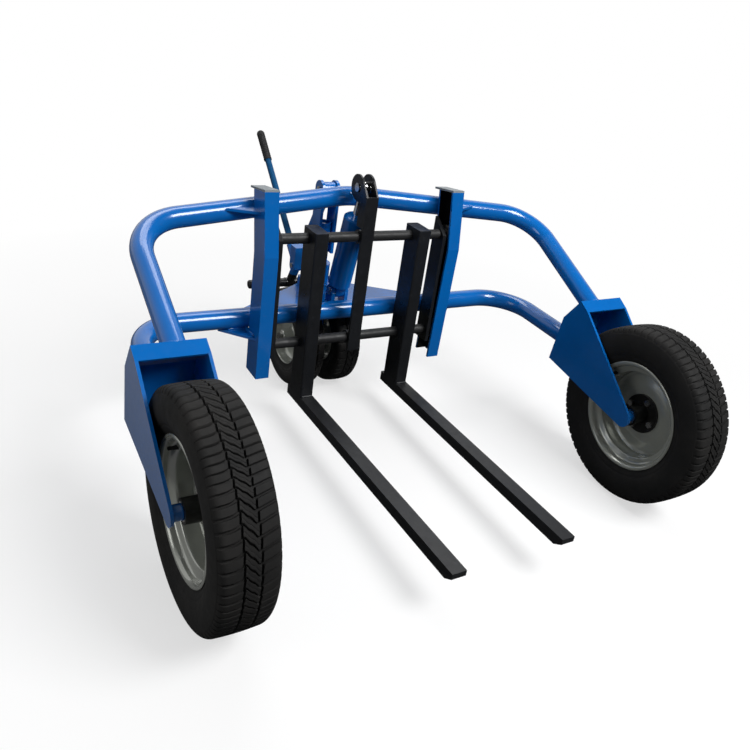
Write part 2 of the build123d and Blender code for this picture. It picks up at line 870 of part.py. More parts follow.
# Hand pump with its lever
plunger_y = lever_y + nose_reach
plunger_top = lever_z - nose_r - plunger_gap
bore_foot = plunger_top - plunger_len - nose_reach
pump_lug_x = rocker_w / 2 + gap
knob_y = pump_front_y + pump_depth
knob_z = platform_top + pump_h / 2
with BuildPart() as pump:
    with BuildSketch(plan_view(platform_top)):
        with Locations((pump_x, pump_front_y + pump_depth / 2)):
            RectangleRounded(pump_w, pump_depth, fork_wall)
    extrude(amount=pump_h)
    with BuildSketch(plan_view(pump_top)):
        with Locations((pump_x, plunger_y)):
            Circle(pump_barrel_d / 2)
    extrude(amount=pump_barrel_h)
    for face in (pump_x - pump_lug_x - pump_lug_t, pump_x + pump_lug_x):
        with BuildSketch(side_view(face)):
            with Locations((lever_y, lever_z)):
                Circle(rocker_r)
            with Locations((lever_y, pump_top + gap)):
                Rectangle(2 * rocker_r, 2 * gap)
            make_hull()
            with Locations((lever_y, lever_z)):
                Circle(pump_pin_d / 2 + run, mode=Mode.SUBTRACT)
        extrude(amount=pump_lug_t)
    with BuildSketch(plan_view(bore_foot)):
        with Locations((pump_x, plunger_y)):
            Circle(plunger_d / 2 + run)
    extrude(amount=plunger_top - bore_foot, mode=Mode.SUBTRACT)
    with BuildSketch(front_view(pump_x, knob_y, knob_z)):
        Circle(knob_stem_d / 2 + run)
    extrude(amount=knob_len, mode=Mode.SUBTRACT)
save(pump, "pump_body")

with BuildPart() as pump_shaft:
    shaft_left = lever_x - socket_w / 2 - 3 * gap
    shaft_right = pump_x + pump_lug_x + pump_lug_t + 3 * gap
    with BuildSketch(side_view(shaft_left)):
        with Locations((lever_y, lever_z)):
            Circle(pump_pin_d / 2)
    extrude(amount=shaft_right - shaft_left)
save(pump_shaft, "pump_shaft")

with BuildPart() as plunger:
    with BuildSketch(plan_view(plunger_top - plunger_len)):
        with Locations((pump_x, plunger_y)):
            Circle(plunger_d / 2)
    extrude(amount=plunger_len - plunger_d / 2)
    with Locations(at(pump_x, plunger_y, plunger_top - plunger_d / 2)):
        Sphere(plunger_d / 2)
save(plunger, "pump_plunger")


def along_lever(distance):
    """Plane square to the lever at a distance from its pivot."""
    return sloped(lever_x, lever_y + distance * sin(lever_a), lever_z + distance * cos(lever_a), lever_a)


with BuildPart() as rocker:
    with BuildSketch(side_view(pump_x - rocker_w / 2)):
        with Locations((lever_y + nose_reach / 2, lever_z)):
            SlotCenterToCenter(nose_reach, 2 * nose_r)
        with Locations((lever_y, lever_z)):
            Circle(rocker_r)
            Circle(pump_pin_d / 2 + seat, mode=Mode.SUBTRACT)
    extrude(amount=rocker_w)
save(rocker, "pump_rocker")

socket_foot = rocker_r + lever_d / 2
with BuildPart() as socket:
    with BuildSketch(side_view(lever_x - socket_w / 2)):
        with Locations((lever_y, lever_z)):
            Circle(rocker_r)
        with Locations((lever_y, lever_z + socket_rise / 2)):
            Rectangle(2 * rocker_r, socket_rise)
    extrude(amount=socket_w)
    with BuildSketch(along_lever(0)):
        Circle(socket_d / 2)
    extrude(amount=socket_len)
    with BuildSketch(side_view(lever_x - socket_w / 2)):
        with Locations((lever_y, lever_z)):
            Circle(pump_pin_d / 2 + seat)
    extrude(amount=socket_w, mode=Mode.SUBTRACT)
    with BuildSketch(along_lever(socket_foot)):
        Circle(lever_d / 2 + seat)
    extrude(amount=socket_len - socket_foot, mode=Mode.SUBTRACT)
save(socket, "lever_socket")

grip_foot = lever_len - grip_len
with BuildPart() as lever:
    with BuildSketch(along_lever(socket_foot)):
        Circle(lever_d / 2)
    extrude(amount=lever_len - grip_d - socket_foot)
save(lever, "lever_rod")

with BuildPart() as grip:
    with BuildSketch(along_lever(grip_foot)):
        Circle(grip_r)
    extrude(amount=grip_len - grip_r)
    with Locations(along_lever(lever_len - grip_r)):
        Sphere(grip_r)
    with BuildSketch(along_lever(grip_foot)):
        Circle(lever_d / 2 + seat)
    extrude(amount=grip_len - grip_d, mode=Mode.SUBTRACT)
save(grip, "lever_grip")

with BuildPart() as knob:
    with BuildSketch(front_view(pump_x, knob_y + gap, knob_z)):
        Circle(knob_d / 2)
    extrude(amount=-knob_len)
    with BuildSketch(front_view(pump_x, knob_y + gap, knob_z)):
        Circle(knob_stem_d / 2)
    extrude(amount=knob_len)
save(knob, "release_knob")

# Steering: column in the head tube, leg between the wheels
steer_axle_z = steer_tyre_d / 2
ear_inner = column_tube_d / 2 - 2 * gap
ear_outer = ear_inner + drawbar_ear_t
ear_foot = platform_top + head_up + 4 * platform_t
with BuildPart() as steer_column:
    with BuildSketch(plan_view(crown_top)):
        with Locations((0, steer_y)):
            Circle(column_tube_d / 2)
    extrude(amount=column_tube_top - crown_top)
    for face in (-ear_outer, ear_inner):
        with BuildSketch(side_view(face)):
            with Locations((steer_y, drawbar_z)):
                Circle(drawbar_ear_depth / 2)
            with Locations((steer_y, ear_foot + gap)):
                Rectangle(drawbar_ear_depth, 2 * gap)
            make_hull()
        extrude(amount=drawbar_ear_t)
    with BuildSketch(side_view(-ear_outer)):
        with Locations((steer_y, drawbar_z)):
            Circle(drawbar_pin_d / 2 + seat)
    extrude(amount=2 * ear_outer, mode=Mode.SUBTRACT)
    with BuildSketch(plan_view(crown_top)):
        with Locations((0, steer_y)):
            Circle(column_tube_d / 2 - column_tube_t)
    extrude(amount=column_tube_top - crown_top, mode=Mode.SUBTRACT)
save(steer_column, "steer_column")

with BuildPart() as thrust_bearing:
    with BuildSketch(plan_view(crown_top)):
        with Locations((0, steer_y)):
            Circle(head_d / 2)
            Circle(column_tube_d / 2 + seat, mode=Mode.SUBTRACT)
    extrude(amount=thrust_bearing_t)
save(thrust_bearing, "thrust_bearing")

with BuildPart() as steer_leg:
    with BuildSketch(side_view(-steer_leg_w / 2)):
        with Locations((steer_y, steer_axle_z)):
            Circle(steer_boss_r)
        with Locations((steer_y, crown_top - platform_t)):
            Rectangle(steer_leg_depth, 2 * platform_t)
        make_hull()
    extrude(amount=steer_leg_w)
    with BuildSketch(plan_view(crown_top)):
        with Locations((0, steer_y)):
            Circle(steer_leg_depth / 2)
    extrude(amount=-crown_t)
    with BuildSketch(side_view(-steer_leg_w / 2)):
        with Locations((steer_y, steer_axle_z)):
            Circle(steer_axle_d / 2 + seat)
    extrude(amount=steer_leg_w, mode=Mode.SUBTRACT)
save(steer_leg, "steer_leg")

steer_wheel_x = steer_leg_w / 2 + 4 * gap + steer_tyre_w / 2
steer_hub_half = steer_tyre_w / 2 + 2 * gap
axle_end = steer_wheel_x + steer_hub_half + gap
with BuildPart() as steer_axle:
    with BuildSketch(side_view(-axle_end)):
        with Locations((steer_y, steer_axle_z)):
            Circle(steer_axle_d / 2)
    extrude(amount=2 * axle_end)
    for sign in (-1, 1):
        with BuildSketch(side_view(sign * axle_end)):
            with Locations((steer_y, steer_axle_z)):
                RegularPolygon(steer_nut_r, 6)
        extrude(amount=sign * steer_nut_t)
save(steer_axle, "steer_axle")

steer_r = steer_tyre_d / 2
steer_seat_r = steer_rim_d / 2
for side, sign in (("left", -1), ("right", 1)):
    steer_mid = front_view(sign * steer_wheel_x, steer_y, steer_axle_z)
    steer_line = cross_axis(steer_y, steer_axle_z)
    with BuildPart() as steer_tyre:
        with BuildSketch(steer_mid):
            with Locations((0, (steer_r + steer_seat_r + seat) / 2)):
                RectangleRounded(steer_tyre_w, steer_r - steer_seat_r - seat, casing_t)
                RectangleRounded(
                    steer_tyre_w - 2 * casing_t,
                    steer_r - steer_seat_r - seat - 2 * casing_t,
                    casing_t / 2,
                    mode=Mode.SUBTRACT,
                )
        revolve(axis=steer_line)
    save(steer_tyre, f"{side}_steer_tyre")

    with BuildPart() as steer_rim:
        with BuildSketch(steer_mid):
            with Locations((0, (steer_hub_d + steer_axle_d) / 4 + run / 2)):
                Rectangle(2 * steer_hub_half, (steer_hub_d - steer_axle_d) / 2 - run)
            with Locations((0, (steer_seat_r + steer_hub_d / 2 - rim_t) / 2)):
                Rectangle(rim_t, steer_seat_r - steer_hub_d / 2 + rim_t)
            with Locations((0, steer_seat_r - rim_t / 2)):
                Rectangle(steer_rim_w, rim_t)
        revolve(axis=steer_line)
    save(steer_rim, f"{side}_steer_rim")

# Tow bar, hanging behind the steering column
with BuildPart() as drawbar_pin:
    pin_half = ear_outer + 4 * gap
    with BuildSketch(side_view(-pin_half)):
        with Locations((steer_y, drawbar_z)):
            Circle(drawbar_pin_d / 2)
    extrude(amount=2 * pin_half)
save(drawbar_pin, "drawbar_pin")

handle_y = steer_y + drawbar_len * sin(hang_a)
handle_z = drawbar_z - drawbar_len * cos(hang_a)
eye_half = ear_inner - gap
bar_root = Plane(
    origin=at(0, steer_y, drawbar_z),
    x_dir=(1, 0, 0),
    z_dir=(0, sin(hang_a), -cos(hang_a)),
)
with BuildPart() as drawbar:
    with BuildSketch(side_view(-eye_half)):
        with Locations((steer_y, drawbar_z)):
            Circle(drawbar_eye_r)
        with Locations((handle_y, handle_z)):
            Circle(handle_boss_r)
    extrude(amount=2 * eye_half)
    with BuildSketch(bar_root):
        Circle(drawbar_d / 2)
    extrude(amount=drawbar_len)
    with BuildSketch(side_view(-eye_half)):
        with Locations((steer_y, drawbar_z)):
            Circle(drawbar_pin_d / 2 + run)
    extrude(amount=2 * eye_half, mode=Mode.SUBTRACT)
save(drawbar, "drawbar")

with BuildPart() as handle:
    for sign in (-1, 1):
        with BuildSketch(side_view(sign * eye_half)):
            with Locations((handle_y, handle_z)):
                Circle(handle_d / 2)
        extrude(amount=sign * (handle_len / 2 - eye_half))
    free_ends = handle.faces().sort_by(Axis.X)
    fillet(free_ends[0].edges() + free_ends[-1].edges(), radius=handle_d / 5)
save(handle, "tow_handle")
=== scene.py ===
"""Looks of an all-terrain pallet truck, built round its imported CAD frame.

Metres, +Z up. The truck faces -Y: fork tips to the front, tow handle to the rear.
"""
import json
import logging
import math
from dataclasses import dataclass
from enum import Enum
from typing import ClassVar, Optional, Sequence

import bpy
import numpy as np
from mathutils import Euler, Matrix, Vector


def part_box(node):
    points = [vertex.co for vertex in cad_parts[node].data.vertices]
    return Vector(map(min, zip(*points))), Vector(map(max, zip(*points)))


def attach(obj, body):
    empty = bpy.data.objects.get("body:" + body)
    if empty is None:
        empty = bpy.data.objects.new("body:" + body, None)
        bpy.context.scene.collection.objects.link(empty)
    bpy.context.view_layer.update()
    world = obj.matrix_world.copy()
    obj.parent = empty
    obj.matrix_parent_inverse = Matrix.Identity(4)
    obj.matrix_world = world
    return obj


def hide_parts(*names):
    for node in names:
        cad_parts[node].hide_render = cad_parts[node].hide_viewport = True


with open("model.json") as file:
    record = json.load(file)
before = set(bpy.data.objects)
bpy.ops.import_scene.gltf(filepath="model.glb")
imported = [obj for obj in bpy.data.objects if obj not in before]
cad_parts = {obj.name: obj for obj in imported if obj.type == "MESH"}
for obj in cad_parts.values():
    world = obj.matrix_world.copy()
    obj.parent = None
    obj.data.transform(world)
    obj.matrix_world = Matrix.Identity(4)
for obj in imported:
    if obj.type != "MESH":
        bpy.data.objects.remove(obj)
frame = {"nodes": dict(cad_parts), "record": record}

LOG = logging.getLogger("pallet_truck")
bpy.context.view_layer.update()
Rgb = tuple[float, float, float]
Points = Sequence[tuple[float, float]]
Ramp = tuple[float, float, float, float]
Array = np.ndarray
Socket = bpy.types.NodeSocket


class Side(Enum):
    """The two sides of the truck, seen with the fork tips in front."""

    LEFT = -1
    RIGHT = 1

    @property
    def word(self) -> str:
        """Returns: the side's name as the CAD nodes spell it."""
        return self.name.lower()


class Grain(Enum):
    """How a metal's fine lines run: the pattern's scale along X, Y and Z."""

    TURNED = (1.0, 40.0, 40.0)
    DRAWN = (40.0, 40.0, 2.0)


class Edge(Enum):
    """How wide the sharp edges of a piece are rounded, in metres."""

    AS_CUT = 0.0
    HAIRLINE = 0.0006
    FINE = 0.0008
    LIGHT = 0.001
    MEDIUM = 0.0012
    BROAD = 0.0014
    WIDE = 0.0018


# Node graphs and finishes


@dataclass(frozen=True)
class Mask:
    """A noise pattern that covers nothing where it is low and all where it is high.

    Attributes:
        scale, detail, rough: the noise's sizes.
        low, high: its values at no cover and at full cover.
    """

    scale: float
    detail: float
    low: float
    high: float
    rough: float = 0.55


class Graph:
    """Builder round the node tree of a material or a world."""

    def __init__(self, owner: bpy.types.ID, shader: str = "Principled BSDF", place: str = "Object") -> None:
        """Take over an owner's nodes.

        Args:
            owner: the material or the world.
            shader: name of the shader node that it starts with.
            place: the coordinates that its patterns lie on.
        """
        owner.use_nodes = True
        self.tree = owner.node_tree
        self.shader = self.tree.nodes[shader]
        self.coords = self.node("ShaderNodeTexCoord").outputs[place]

    def node(self, kind: str, inputs: Optional[dict] = None, **settings: object) -> bpy.types.Node:
        """Add a node.

        Args:
            kind: the node's Blender type.
            inputs: what its sockets get, by name or number.
            settings: attributes to set on it.
        Returns: the node.
        """
        made = self.tree.nodes.new(kind)
        for key, value in settings.items():
            setattr(made, key, value)
        for key, value in (inputs or {}).items():
            self.feed(made.inputs[key], value)
        return made

    def feed(self, socket: Socket, value: object) -> None:
        """Link an output to a socket, or set the socket's constant.

        Args:
            socket: the input socket.
            value: an output socket, a number or a colour.
        """
        if isinstance(value, Socket):
            self.tree.links.new(value, socket)
        elif isinstance(value, tuple) and len(value) == 3 and socket.type == "RGBA":
            socket.default_value = (*value, 1.0)
        else:
            socket.default_value = value

    def stretched(self, scale: tuple[float, float, float]) -> Socket:
        """Args: scale: factors along X, Y and Z. Returns: the scaled coordinates."""
        return self.node("ShaderNodeMapping", {"Vector": self.coords, "Scale": scale}).outputs["Vector"]

    def along(self, axis: str) -> Socket:
        """Args: axis: X, Y or Z. Returns: that coordinate."""
        return self.node("ShaderNodeSeparateXYZ", {0: self.coords}).outputs[axis]

    def noise(self, scale: float, detail: float = 3.0, rough: float = 0.55,
              vector: Optional[Socket] = None) -> Socket:
        """Args: scale, detail, rough: the noise's sizes. vector: coordinates. Returns: its value."""
        inputs = {"Vector": vector or self.coords, "Scale": scale, "Detail": detail, "Roughness": rough}
        return self.node("ShaderNodeTexNoise", inputs).outputs["Fac"]

    def remap(self, value: Socket, low: float, high: float, to_low: float, to_high: float) -> Socket:
        """Args: value: input. low, high: its range. to_low, to_high: the new range. Returns: the result."""
        inputs = {"Value": value, "From Min": low, "From Max": high, "To Min": to_low, "To Max": to_high}
        return self.node("ShaderNodeMapRange", inputs, clamp=True).outputs["Result"]

    def mask(self, pattern: Mask, cover: float) -> Socket:
        """Args: pattern: the mask. cover: its largest share. Returns: the share of cover."""
        value = self.noise(pattern.scale, pattern.detail, pattern.rough)
        return self.remap(value, pattern.low, pattern.high, 0.0, cover)

    def mix(self, factor: object, first: object, second: object) -> Socket:
        """Args: factor: share of second. first, second: colours. Returns: the mixed colour."""
        return self.node("ShaderNodeMix", {0: factor, 6: first, 7: second}, data_type="RGBA").outputs[2]

    def bump(self, height: Socket, strength: float, distance: float) -> Socket:
        """Args: height: the relief. strength, distance: its size. Returns: the normal."""
        inputs = {"Height": height, "Strength": strength, "Distance": distance}
        return self.node("ShaderNodeBump", inputs).outputs["Normal"]

    def math(self, operation: str, *values: object) -> Socket:
        """Args: operation: the sum to work out. values: its numbers or sockets. Returns: the result."""
        return self.node("ShaderNodeMath", dict(enumerate(values)), operation=operation).outputs["Value"]

    def glow(self, kind: str, color: Rgb, strength: object = 1.0) -> Socket:
        """Args: kind: Emission or Background. color, strength: its light. Returns: the shader."""
        return self.node("ShaderNode" + kind, {"Color": color, "Strength": strength}).outputs[0]

    def blend(self, factor: Socket, first: Socket, second: Socket) -> Socket:
        """Args: factor: share of second. first, second: shaders. Returns: the mixed shader."""
        return self.node("ShaderNodeMixShader", {0: factor, 1: first, 2: second}).outputs["Shader"]

    def show(self, shader: Socket) -> None:
        """Args: shader: what the owner shows in place of its first shader."""
        output = next(node for node in self.tree.nodes if node.bl_idname.startswith("ShaderNodeOutput"))
        self.feed(output.inputs["Surface"], shader)

    def finish(self, **inputs: object) -> None:
        """Args: inputs: the first shader's sockets by name, with spaces as underscores."""
        for key, value in inputs.items():
            self.feed(self.shader.inputs[key.replace("_", " ")], value)


@dataclass(frozen=True)
class Finish:
    """A surface finish that makes one material.

    Attributes:
        name: the material's name.
        slot: the record's material slot; not used.
        color: its main colour, linear.
        roughness: its mean roughness.
        SPAN: values of a noise between which the roughness wanders.
    """

    SPAN: ClassVar[tuple[float, float]] = (0.3, 0.7)

    name: str
    slot: str
    color: Rgb
    roughness: float

    def build(self) -> bpy.types.Material:
        """Returns: the finish's material, made once."""
        known = bpy.data.materials.get(self.name)
        if known:
            return known
        material = bpy.data.materials.new(self.name)
        self.make(Graph(material))
        return material

    def make(self, graph: Graph) -> None:
        """Args: graph: the new material's graph."""
        raise NotImplementedError

    def shade(self, factor: float) -> Rgb:
        """Args: factor: brightness. Returns: the colour at that brightness."""
        return tuple(channel * factor for channel in self.color)

    def uneven(self, graph: Graph, pattern: Socket, low: float, high: float) -> Socket:
        """Let the roughness wander with a pattern.

        Args:
            graph: the material's graph.
            pattern: a noise.
            low, high: shares of the mean roughness between which it wanders.
        Returns: the roughness.
        """
        return graph.remap(pattern, *self.SPAN, self.roughness * low, min(1.0, self.roughness * high))


@dataclass(frozen=True)
class Paint(Finish):
    """Sprayed paint: cloudy tone, orange peel, a thin dust film and rare scuffs.

    Attributes:
        coat: weight of the clear gloss on top.
        peel: strength of the orange-peel relief.
        dust: colour of the dust film and the scuffs.
        dusty: largest share of dust.
        scuffed: largest share of scuffs.
        dip: height below which the piece is dipped in black, or None.
        dip_color: colour of the dip.
        dip_edge: how far the dip's edge fades to each side.
        shine: strength of the paint's own reflection.
        metal: share of metal flake.
    """

    CLOUD: ClassVar[Mask] = Mask(scale=3.5, detail=4.0, low=0.35, high=0.65)
    FILM: ClassVar[Mask] = Mask(scale=9.0, detail=6.0, low=0.45, high=0.8, rough=0.65)
    SCUFF: ClassVar[Mask] = Mask(scale=55.0, detail=2.0, low=0.66, high=0.8, rough=0.4)

    coat: float = 0.5
    peel: float = 0.012
    dust: Rgb = (0.12, 0.13, 0.15)
    dusty: float = 0.02
    scuffed: float = 0.1
    dip: Optional[float] = None
    dip_color: Rgb = (0.012, 0.012, 0.013)
    dip_edge: float = 0.002
    shine: float = 0.5
    metal: float = 0.0

    def make(self, graph: Graph) -> None:
        """Lay cloud, dust and scuffs over the colour, and orange peel over the surface.

        Args:
            graph: the new material's graph.
        """
        tone = graph.mix(graph.mask(self.CLOUD, 1.0), self.shade(0.93), self.shade(1.06))
        dusted = graph.mix(graph.mask(self.FILM, self.dusty), tone, self.dust)
        worn = graph.mix(graph.mask(self.SCUFF, self.scuffed), dusted, self.dust)
        rough = self.uneven(graph, graph.noise(scale=45.0), 0.8, 1.25)
        skin = graph.bump(graph.noise(scale=380.0, detail=2.0), self.peel, distance=0.0005)
        graph.finish(Base_Color=self.cover(graph, worn), Roughness=rough, Normal=skin,
                     Coat_Weight=self.coat, Coat_Roughness=0.045,
                     Specular_IOR_Level=self.shine, Metallic=self.metal)

    def cover(self, graph: Graph, color: Socket) -> Socket:
        """Lay the dip over the paint, where there is one.

        Args:
            graph: the paint's graph.
            color: the paint.
        Returns: the colour with what lies over it.
        """
        if self.dip is None:
            return color
        below = graph.remap(graph.along("Z"), self.dip - self.dip_edge, self.dip + self.dip_edge, 1.0, 0.0)
        return graph.mix(below, color, self.dip_color)


@dataclass(frozen=True)
class TrackPaint(Paint):
    """Paint on an upright channel with painted shade inside it: the faces within the channel, where the
    rollers run, turn near-black.

    Attributes:
        middle: the channel's middle line along Y, below its bend.
        bend: height of the bend.
        slope: how far the middle line moves along Y for each metre above the bend.
        flange: distance from the middle line that only the flanges are past.
        inner: distance from the truck's middle that both columns are past.
        web: distance from the truck's middle that only the web is past.
        grease: colour of the painted shade inside the channel.
    """

    middle: float = 0.0
    bend: float = 0.603
    slope: float = 0.176
    flange: float = 0.012
    inner: float = 0.16
    web: float = 0.32
    grease: Rgb = (0.004, 0.004, 0.005)

    def cover(self, graph: Graph, color: Socket) -> Socket:
        """Painted shade lies on flange faces that look towards the middle line and on the web's inner
        face: there the place, measured from the middle, and the normal point opposite ways.

        Args:
            graph: the paint's graph.
            color: the paint.
        Returns: the colour with the painted shade.
        """
        normal = graph.node("ShaderNodeNewGeometry").outputs["True Normal"]
        facing = graph.node("ShaderNodeSeparateXYZ", {0: normal}).outputs
        above = graph.math("MAXIMUM", graph.math("SUBTRACT", graph.along("Z"), self.bend), 0.0)
        line = graph.math("MULTIPLY_ADD", above, self.slope, self.middle)
        off, across = graph.math("SUBTRACT", graph.along("Y"), line), graph.along("X")
        on_flange = graph.math("LESS_THAN", graph.math("MULTIPLY", off, facing["Y"]), -self.flange)
        inward = graph.math("LESS_THAN", graph.math("MULTIPLY", across, facing["X"]), -self.inner)
        outside = graph.math("GREATER_THAN", graph.math("ABSOLUTE", across), self.web)
        inside = graph.math("MAXIMUM", on_flange, graph.math("MULTIPLY", inward, outside))
        # Painted shade: the faces inside the channel turn near-black.
        return graph.mix(inside, color, self.grease)


@dataclass(frozen=True)
class Rubber(Finish):
    """Vulcanised rubber: matte, with a pale bloom and a fine moulded grain.

    Attributes:
        bloom: colour of the bloom.
        bloomed: largest share of bloom.
        grain: strength of the grain.
        shine: strength of the rubber's reflection.
    """

    CLOUD: ClassVar[Mask] = Mask(scale=8.0, detail=6.0, low=0.4, high=0.75, rough=0.6)

    bloom: Rgb = (0.05, 0.046, 0.042)
    bloomed: float = 0.4
    grain: float = 0.2
    shine: float = 0.3

    def make(self, graph: Graph) -> None:
        """Lay bloom over the colour and a moulded grain over the surface.

        Args:
            graph: the new material's graph.
        """
        color = graph.mix(graph.mask(self.CLOUD, self.bloomed), self.color, self.bloom)
        rough = self.uneven(graph, graph.noise(scale=40.0, detail=4.0), 0.9, 1.1)
        skin = graph.bump(graph.noise(scale=700.0), self.grain, distance=0.0004)
        graph.finish(Base_Color=color, Roughness=rough, Normal=skin, Specular_IOR_Level=self.shine)


@dataclass(frozen=True)
class Steel(Finish):
    """Bare metal with fine lines.

    Attributes:
        grain: how the lines run.
        lines: strength of the lines.
    """

    grain: Grain = Grain.TURNED
    lines: float = 0.12

    def make(self, graph: Graph) -> None:
        """Let one streaky noise steer tone, roughness and the fine lines.

        Args:
            graph: the new material's graph.
        """
        streak = graph.noise(scale=22.0, detail=5.0, rough=0.6, vector=graph.stretched(self.grain.value))
        color = graph.mix(streak, self.shade(0.82), self.shade(1.1))
        rough = self.uneven(graph, streak, 0.7, 1.4)
        skin = graph.bump(streak, self.lines, distance=0.0004)
        graph.finish(Base_Color=color, Roughness=rough, Normal=skin, Metallic=1.0)


@dataclass(frozen=True)
class Moulding(Finish):
    """Moulded plastic with a spark-eroded grain.

    Attributes:
        grain: strength of the grain.
    """

    grain: float = 0.15

    def make(self, graph: Graph) -> None:
        """Let one cloudy noise steer tone and roughness, with a fine grain on top.

        Args:
            graph: the new material's graph.
        """
        cloud = graph.noise(scale=35.0, detail=4.0)
        color = graph.mix(cloud, self.shade(0.85), self.shade(1.2))
        rough = self.uneven(graph, cloud, 0.85, 1.15)
        skin = graph.bump(graph.noise(scale=900.0, detail=2.0), self.grain, distance=0.0004)
        graph.finish(Base_Color=color, Roughness=rough, Normal=skin)


BLUE = Paint("blue gloss paint", "blue_paint", (0.0012, 0.137, 0.487), 0.2)
TOW_BLUE = Paint("blue paint with a black end", "blue_paint", BLUE.color, 0.2, dip=0.33)
BLACK = Paint("black satin paint", "black_paint", (0.0105, 0.0115, 0.0135), 0.34, coat=0.0, peel=0.03,
              dusty=0.03, shine=0.42)
# The blades' black is a lighter copy of the black paint: painted light, standing in for light bounced up
# from the floor.
FORK_BLACK_LIT = Paint("black fork paint", "black_paint", (0.014, 0.0146, 0.016), 0.4, coat=0.0, peel=0.03,
                   dusty=0.05, shine=0.45)
BAR_BLACK = Paint("black bar paint", "black_paint", (0.017, 0.0175, 0.018), 0.5, coat=0.0, peel=0.03,
                  dusty=0.05, shine=0.4)
# The lever rod's blue is a darker, duller copy of the blue paint: painted shade.
LEVER_SHADED_BLUE = Paint("hand-worn blue paint", "blue_paint", (0.002, 0.075, 0.2), 0.45, coat=0.0, shine=0.2)
HUB_BLACK = Paint("black hub enamel", "black_paint", (0.006, 0.006, 0.005), 0.42, coat=0.0, dusty=0.04)
RIM_GREY = Paint("grey rim enamel", "grey_rim_paint", (0.45, 0.465, 0.415), 0.2, coat=0.8,
                 dust=(0.3, 0.28, 0.22), dusty=0.05, metal=0.35)
CAP_GREY = Paint("grey cap primer", "cap_grey", (0.27, 0.3, 0.32), 0.4, coat=0.0, peel=0.04, dusty=0.1)
TYRE = Rubber("tyre rubber", "tyre_rubber", (0.0155, 0.0155, 0.0155), 0.72, bloomed=0.3, shine=0.15)
STEER_TYRE = Rubber("steer tyre rubber", "tyre_rubber", (0.015, 0.015, 0.015), 0.66, bloomed=0.3)
GRIP = Rubber("grip rubber", "grip_rubber", (0.016, 0.016, 0.017), 0.6, bloomed=0.2, grain=0.15)
BRIGHT = Steel("bright steel", "bright_steel", (0.62, 0.62, 0.61), 0.26)
CHROME = Steel("hard chrome", "chrome", (0.78, 0.79, 0.8), 0.07, grain=Grain.DRAWN, lines=0.03)
KNOB = Moulding("black moulding", "black_plastic", (0.018, 0.018, 0.019), 0.5)
COLUMN_DEPTH = 0.08
# Column paint with painted shade inside the channels.
CHANNEL_SHADE_BLUE = TrackPaint("blue paint with a greased track", BLUE.slot, BLUE.color, BLUE.roughness,
                        middle=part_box("left_column")[0].y + COLUMN_DEPTH / 2)


# Surfaces made from grids of points


def soften(points: Points, reach: float, steps: int = 5) -> Array:
    """Round the corners of a closed polyline: each corner becomes a parabola that leaves
    its two edges at `reach`, or at 45 per cent of the edge where that is shorter.

    Args:
        points: corners.
        reach: distance from a corner at which the rounding starts.
        steps: points per corner.
    Returns: rounded points, (n, 2).
    """
    corner = np.asarray(points, float)

    def towards(other: Array) -> Array:
        """Args: other: each corner's neighbour. Returns: where the rounding meets that edge."""
        edge = other - corner
        length = np.linalg.norm(edge, axis=1, keepdims=True)
        return corner + edge * np.minimum(reach / np.maximum(length, 1e-9), 0.45)

    start, end = towards(np.roll(corner, 1, 0)), towards(np.roll(corner, -1, 0))
    t = np.linspace(0.0, 1.0, steps)[None, :, None]
    arcs = (1 - t) ** 2 * start[:, None] + 2 * t * (1 - t) * corner[:, None] + t**2 * end[:, None]
    return arcs.reshape(-1, 2)


def lathe(profile: Array, centre: Vector, segments: int) -> Array:
    """Turn a profile of (axial, radial) points about the X axis through a centre:
    point = centre + (axial, radial sin a, radial cos a) for angles a all round.

    Args:
        profile: (n, 2) points.
        centre: a point on the axis.
        segments: steps round the axis.
    Returns: grid of points, (segments, n, 3).
    """
    angle = np.arange(segments) * (2 * math.pi / segments)
    axial = np.broadcast_to(profile[:, 0], (segments, len(profile)))
    turned = [np.outer(wave(angle), profile[:, 1]) for wave in (np.sin, np.cos)]
    return np.stack([axial, *turned], -1) + np.array(centre)


def tube(path: Array, radius: Array, sides: int, loop: bool = False) -> Array:
    """Run a circle along a path: at each point the circle is spanned by a unit vector square
    to the path and to a nearly upright guide, and by one square to that vector and the path.

    Args:
        path: (n, 3) points.
        radius: (n,) radii.
        sides: points round the circle.
        loop: whether the path closes on itself.
    Returns: grid of points, (n, sides, 3).
    """
    if loop:
        along = np.roll(path, -1, 0) - np.roll(path, 1, 0)
    else:
        along = np.gradient(path, axis=0)
    along /= np.linalg.norm(along, axis=1, keepdims=True)
    nearly_up = np.array([0.137, 0.211, 0.968])
    across = np.cross(along, nearly_up)
    across /= np.linalg.norm(across, axis=1, keepdims=True)
    upward = np.cross(across, along)
    angle = np.arange(sides) * (2 * math.pi / sides)
    ring = np.cos(angle)[None, :, None] * across[:, None] + np.sin(angle)[None, :, None] * upward[:, None]
    return path[:, None] + ring * np.asarray(radius)[:, None, None]


def coped(centre: Array, along: Array, radius: float, point: Array, normal: Array,
          count: int = 64) -> Array:
    """The seam where a tube ends on a plane: lines along the tube, set round its circle,
    each run on to the plane.

    Args:
        centre: a point on the tube's axis.
        along: the axis.
        radius: the tube's radius.
        point, normal: the plane.
        count: points round the seam.
    Returns: (count, 3) points.
    """
    axis = Vector(along).normalized()
    first = axis.orthogonal().normalized()
    second = axis.cross(first)
    angle = np.arange(count) * (2 * math.pi / count)
    spread = np.cos(angle)[:, None] * np.array(first) + np.sin(angle)[:, None] * np.array(second)
    rim = np.asarray(centre) + radius * spread
    run = ((np.asarray(point) - rim) @ np.asarray(normal)) / float(np.dot(axis, normal))
    return rim + run[:, None] * np.array(axis)


